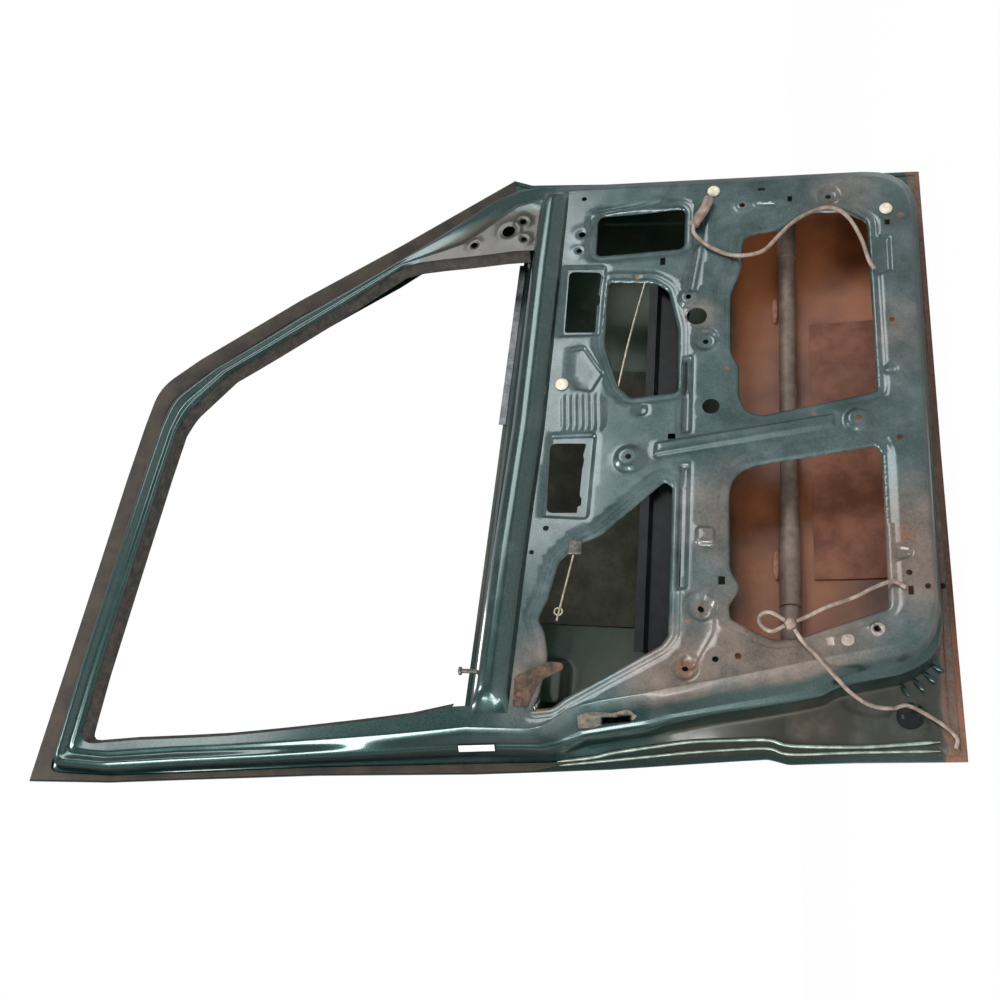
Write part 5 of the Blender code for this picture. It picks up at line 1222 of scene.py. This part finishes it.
# Cords and straps, each along its solid's own route
cordRoutes = {
    "upperLead": ((-0.1042, 0.1127, -0.0085), (-0.120, 0.112, -0.0085), (-0.142, 0.092, -0.0060),
                  (-0.160, 0.060, -0.0036), (-0.164, 0.030, -0.0050), (-0.156, 0.004, -0.0050),
                  (-0.132, -0.016, -0.0050), (-0.104, -0.040, -0.0050), (-0.084, -0.070, -0.0045),
                  (-0.078, -0.100, -0.0040), (-0.098, -0.124, -0.0036), (-0.140, -0.142, -0.0036),
                  (-0.182, -0.152, -0.0036), (-0.198, -0.160, -0.0036)),
    "leadWrap": ((-0.052, 0.090, -0.0080), (-0.072, 0.096, -0.0080), (-0.090, 0.106, -0.0082),
                 (-0.1025, 0.112, -0.0085)),
    "frontStrap": ((-0.722, -0.180, -0.0032), (-0.713, -0.164, -0.0032), (-0.722, -0.140, -0.0036),
                   (-0.738, -0.112, -0.0045), (-0.752, -0.078, -0.0060), (-0.767, -0.052, -0.0075),
                   (-0.7751, -0.0362, -0.0095)),
    "loopStrap": ((-0.7819, -0.0213, -0.0095), (-0.790, -0.006, -0.0095), (-0.785, 0.006, -0.0090),
                  (-0.774, 0.012, -0.0090), (-0.765, 0.008, -0.0090), (-0.763, -0.004, -0.0095),
                  (-0.7741, -0.0224, -0.0095)),
    "rearStrap": ((-0.7862, -0.0343, -0.0095), (-0.8026, -0.0461, -0.0036),
                  (-0.8254, -0.0661, -0.0034), (-0.8448, -0.0862, 0.008),
                  (-0.8625, -0.1083, 0.024), (-0.8722, -0.1344, 0.04), (-0.8705, -0.1607, 0.052),
                  (-0.8624, -0.1811, 0.062), (-0.8718, -0.2065, 0.07), (-0.8869, -0.2312, 0.075),
                  (-0.902, -0.2439, 0.0766), (-0.9143, -0.2407, 0.0766)),
}
cordSizes = {"leadRadius": 0.0030, "wrapRadius": 0.0075, "strapRadius": 0.0026,
             "leadSpacing": 0.006, "strapSpacing": 0.004}


def makeCords(sizes):
    knot = smoothCopy("strapKnot", "strap_knot", filmStrap, "dusty_cord", 180.0)
    points = routeSpots(cordRoutes["leadWrap"], sizes["leadSpacing"])[0]
    wrap = tube("leadWrap", points, sizes["wrapRadius"], filmStrap, "dusty_cord", "lead_wrap")
    points, length = routeSpots(cordRoutes["upperLead"], sizes["leadSpacing"])
    lead = tube("upperLead", points, sizes["leadRadius"], filmStrap, "dusty_cord", "upper_lead")
    for name, node, farEnd in (("frontStrap", "front_strap", "knot"),
                               ("loopStrap", "loop_strap", "object"),
                               ("rearStrap", "rear_strap", "bare")):
        points, length = routeSpots(cordRoutes[name], sizes["strapSpacing"])
        strap = tube(name, points, sizes["strapRadius"], filmStrap, "dusty_cord", node)


makeCords(cordSizes)

# Two thin rods, each a line of (x, z, depth)
rods = {
    "lockRod": ((-0.420, 0.2242, 0.0069), (-0.300, 0.2062, 0.0069), (-0.176, 0.1822, 0.0069)),
    "handleRod": ((-0.777, 0.286, -0.0033), (-0.730, 0.278, -0.0033), (-0.677, 0.269, -0.0033)),
}
rodSizes = {"radius": 0.0016, "spacing": 0.01}
for name, node in (("lockRod", "lock_rod"), ("handleRod", "handle_rod")):
    tube(name, routeSpots(rods[name], rodSizes["spacing"])[0], rodSizes["radius"], zincPlate,
         "plated_rod", node)

# Trim clips, turned from one profile of (width, height) shares
clipShape = {
    "radius": 0.0095, "head": 0.006, "shaft": 0.0036, "reach": 0.009, "lift": 0.0003, "sides": 32,
    "profile": ((0.0, 0.80), (0.25, 0.84), (0.40, 0.98), (0.62, 0.97), (0.86, 0.72), (0.99, 0.38),
                (1.0, 0.18), (0.94, 0.0)),
}


def makeClips(shape):
    profile = [(shape["radius"] * width, shape["head"] * height)
               for width, height in shape["profile"]]
    profile += [(shape["shaft"], 0.0), (shape["shaft"], -shape["reach"] * 0.8),
                (shape["shaft"] * 0.5, -shape["reach"]), (0.0, -shape["reach"])]
    sides = shape["sides"]
    turns = [2 * math.pi * side / sides for side in range(sides)]
    for index, (x, z) in enumerate(clips):
        points = [spot(x, z, -shape["lift"] - height)
                  + Vector((radius * math.cos(turn), 0.0, radius * math.sin(turn)))
                  for radius, height in profile for turn in turns]
        name = f"trimClip{index + 1}"
        mesh = cleaned(meshFrom(name, points, quadsBetween(len(profile), sides)), 0.00001)
        softened(mesh)
        addPiece(name, mesh, clipPlastic, "white_clip_plastic", f"trim_clip_{index + 1}")


makeClips(clipShape)


def roundMark(across, down, radius):
    angles = np.arange(18) * 2 * math.pi / 18
    return [(across + radius * math.cos(a), down + 0.92 * radius * math.sin(a)) for a in angles]


# Flat marks and small plates, drawn where they show in the picture and laid on the sheet behind
marks = (
    # name, outline in picture pixels, material, slot, lift in metres
    ("bareLabel", ((458, 745.5), (494, 744.5), (495, 750.5), (459, 751.5)), "label", 0.0006),
    ("labelBorder", ((456.5, 744.2), (496, 743.2), (497, 752), (457.5, 753)), "dark", 0.0003),
    ("latchPlate", ((577, 715), (590, 711), (612, 713), (628, 709), (637, 716), (630, 723),
                    (612, 722), (592, 728), (578, 728)), "scraped", 0.0005),
    ("puttyPatch", ((826, 638), (833, 637), (835, 645), (828, 646)), "putty", 0.0004),
    ("puttyRound", roundMark(848, 640, 6.5), "putty", 0.0004),
    ("puttyRing", roundMark(878, 629, 7.0), "putty", 0.0004),
    # Two dark discs of painted shade, where holes in the hem show dark
    ("hemHoleA", roundMark(928, 586, 3.0), "dark", 0.0004),
    ("hemHoleB", roundMark(943, 586, 3.0), "dark", 0.0004),
    # Dark disc of painted shade in the shelf's round dimple
    ("shelfDimple", roundMark(911, 716, 15.0), "dark", 0.0003),
)
markFinish = {
    # The dark finish paints shade into the hem holes and the dimple, and draws the label's border
    "label": (labelPaper, "white_clip_plastic"), "dark": (blackEnamelAndShade, "black_rail_paint"),
    "scraped": (scrapedSteel, "rusty_steel"), "putty": (puttyMark, "mastic"),
}


def sheetBehind():
    points, faces = [], []
    for name in ("innerPanelSheet", "outerSkinSheet"):
        mesh = bpy.data.objects[name].data
        first = len(points)
        points += [vertex.co.copy() for vertex in mesh.vertices]
        faces += [[first + index for index in face.vertices] for face in mesh.polygons]
    return BVHTree.FromPolygons(points, faces)


markMesh = {"edge": 2.0, "pitch": 2.2, "inset": 0.8, "reach": 20.0}  # in picture pixels


def layMarks(facts):
    surface = sheetBehind()
    eye = scene.camera.matrix_world
    for name, outline, finish, lift in facts:
        line = splitLong(np.array(outline, float), markMesh["edge"])
        free = hexGrid(line.min(0), line.max(0), markMesh["pitch"])
        free = free[insideDistance(free, line, markMesh["reach"]) > markMesh["inset"]]
        plan, faces = triangulated(line, [], free)
        points = {}
        for index, (across, down) in enumerate(plan):
            half = camera["picture"] / 2
            ray = Vector((across - half, half - down, 0))
            ray *= camera["sensor"] / camera["picture"] / camera["lens"]
            ray = (eye.to_3x3() @ (ray - Vector((0, 0, 1)))).normalized()
            place, normal, face, distance = surface.ray_cast(eye.translation, ray)
            if place is not None:
                points[index] = place + (-normal if normal.dot(ray) > 0 else normal) * lift
        kept = [face for face in faces.tolist() if all(index in points for index in face)]
        order = {index: at for at, index in enumerate(sorted({i for face in kept for i in face}))}
        mesh = meshFrom(name, [points[index] for index in order],
                        [[order[index] for index in face] for face in kept])
        addPiece(name, cleaned(mesh), *markFinish[finish])


layMarks(marks)

# Ribs on the shelf at the lower rear corner, each from one (x, z) to another
ribs = {
    "lines": (((-0.812, -0.205), (-0.828, -0.221)), ((-0.822, -0.191), (-0.840, -0.206)),
              ((-0.801, -0.216), (-0.812, -0.232)), ((-0.829, -0.174), (-0.848, -0.186))),
    "depth": 0.0690, "radius": 0.0036,
}


def makeRibs(facts):
    for index, (start, end) in enumerate(facts["lines"]):
        line = [spot(start[0] + (end[0] - start[0]) * t, start[1] + (end[1] - start[1]) * t,
                     facts["depth"]) for t in np.linspace(0.0, 1.0, 9)]
        taper = [math.sqrt(max(0.02, 1 - t * t)) for t in np.linspace(-1.0, 1.0, 9)]
        tube(f"shelfRib{index + 1}", line, facts["radius"], innerPaint, "inner_panel", taper=taper)


makeRibs(ribs)

# Rolled lips along the rear hem, coloured pale as two painted highlight lines
hemLips = (
    # line as (x, z) shares, depth in metres, radius in metres
    (((-0.9060, -0.222), (-0.9115, -0.171), (-0.9165, -0.115), (-0.9175, -0.030), (-0.9105, 0.000),
      (-0.9125, 0.052), (-0.9165, 0.105), (-0.9255, 0.157), (-0.9355, 0.210), (-0.9425, 0.235),
      (-0.9505, 0.285)), 0.0778, 0.0024),
    (((-0.9180, -0.222), (-0.9235, -0.115), (-0.9290, -0.030), (-0.9220, 0.000), (-0.9255, 0.052),
      (-0.9310, 0.105), (-0.9400, 0.170), (-0.9475, 0.225), (-0.9555, 0.285)), 0.0792, 0.0018))


def makeHemLips():
    for index, (line, depth, radius) in enumerate(hemLips):
        points = routeSpots([(x, z, depth) for x, z in line], 0.006)[0]
        ends = [min(1.0, 0.3 + min(i, len(points) - 1 - i) / 4) for i in range(len(points))]
        # Each lip is painted pale, a painted highlight
        tube(f"hemLip{index + 1}", points, radius, paintedHighlightEdge, "inner_panel", taper=ends)


makeHemLips()

# Eye bent at the end of the handle rod
rodEye = {"place": (-0.763, 0.2845, -0.0033), "radius": 0.0052, "wire": 0.0013}
tube("handleRodEye",
     [spot(*rodEye["place"]) + Vector((math.cos(a), 0.0, math.sin(a))) * rodEye["radius"]
      for a in np.linspace(0.0, 2 * math.pi, 25)], rodEye["wire"], zincPlate, "plated_rod")
print("small pieces made")

# Floor, background and studio light
studio = {
    "floor": "#f4f4f2", "floorPale": "#ececea", "floorCloud": 400.0, "floorHalf": 9.0,
    "floorDrop": 0.002, "floorWhite": 0.985, "world": 0.30, "worldTint": "#e6f1f5",
    "glossShare": 0.17, "aim": (-0.45, 0.0, 0.1),
    "lamps": (
        # place, width and height in metres, watts
        ((-2.1, -1.1, -0.45), (0.10, 1.5), 7.0),
        ((-0.6, -1.3, -2.1), (0.9, 0.12), 6.0),
        ((1.1, -2.3, 1.0), (1.3, 1.3), 33.0),
        ((-0.7, -0.9, 2.0), (0.55, 0.55), 20.0),
        ((-2.3, -0.8, 0.7), (0.60, 0.60), 22.0),
        ((-2.0, -1.3, -0.1), (0.35, 0.35), 7.0),
        ((-0.4, 2.2, 1.5), (1.6, 1.6), 36.0),
    ),
}


def makeFloor(facts):
    # Matt floor that the camera sees nearly white, so that only the shadow stays
    material, tree, place = newMaterial("paleFloor")
    white = (1.0, 1.0, 1.0, 1.0)
    noise = addNode(tree, "TexNoise", {"Vector": place, "Scale": 1000.0 / facts["floorCloud"],
                                       "Detail": 4.0, "Roughness": 0.6})
    share = addNode(tree, "MapRange", {"Value": noise, "From Min": 0.3, "From Max": 0.7})
    tone = addNode(tree, "Mix", {0: share, 6: hexColour(facts["floor"]),
                                 7: hexColour(facts["floorPale"])}, 2, data_type="RGBA")
    matt = addNode(tree, "BsdfPrincipled", {"Base Color": tone, "Roughness": 0.9})
    bright = addNode(tree, "Emission", {"Color": white, "Strength": 1.0})
    seen = addNode(tree, "Math", {0: addNode(tree, "LightPath", output="Is Camera Ray"),
                                  1: facts["floorWhite"]}, operation="MULTIPLY")
    addNode(tree, "OutputMaterial", {
        "Surface": addNode(tree, "MixShader", {0: seen, 1: matt, 2: bright})})
    mesh = bpy.data.meshes.new("floor")
    low, half = cadLow.z - facts["floorDrop"], facts["floorHalf"]
    mesh.from_pydata([(-half, -half, low), (half, -half, low), (half, half, low),
                      (-half, half, low)], [], [(0, 1, 2, 3)])
    floor = bpy.data.objects.new("floor", mesh)
    mesh.materials.append(material)
    scene.collection.objects.link(floor)


def makeStudio(facts):
    # The camera and clear parts see a white world, the light comes from a dimmer one
    world = bpy.data.worlds.new("studio")
    scene.world = world
    world.use_nodes = True
    tree = world.node_tree
    tree.nodes.clear()
    ray = {kind: addNode(tree, "LightPath", output=f"Is {kind} Ray")
           for kind in ("Camera", "Transmission", "Glossy")}
    seen = addNode(tree, "Math", {0: ray["Camera"], 1: ray["Transmission"]}, operation="MAXIMUM")
    gloss = addNode(tree, "Math", {0: ray["Glossy"], 1: facts["glossShare"]},
                    operation="MULTIPLY")
    seen = addNode(tree, "Math", {0: seen, 1: gloss}, operation="MAXIMUM")
    soft, plain = [addNode(tree, "Background", {"Color": colour, "Strength": strength})
                   for colour, strength in ((hexColour(facts["worldTint"]), facts["world"]),
                                            ((1.0, 1.0, 1.0, 1.0), 1.0))]
    addNode(tree, "OutputWorld", {
        "Surface": addNode(tree, "MixShader", {0: seen, 1: soft, 2: plain})})
    for index, (place, size, watts) in enumerate(facts["lamps"]):
        data = bpy.data.lights.new(f"softLamp{index}", "AREA")
        data.shape = "RECTANGLE"
        data.size, data.size_y = size
        data.energy = watts
        lamp = bpy.data.objects.new(f"softLamp{index}", data)
        lamp.location = place
        lamp.rotation_mode = "QUATERNION"
        turn = (Vector(facts["aim"]) - Vector(place)).to_track_quat("-Z", "Y")
        lamp.rotation_quaternion = turn
        scene.collection.objects.link(lamp)


makeFloor(studio)
makeStudio(studio)
print("scene ready")
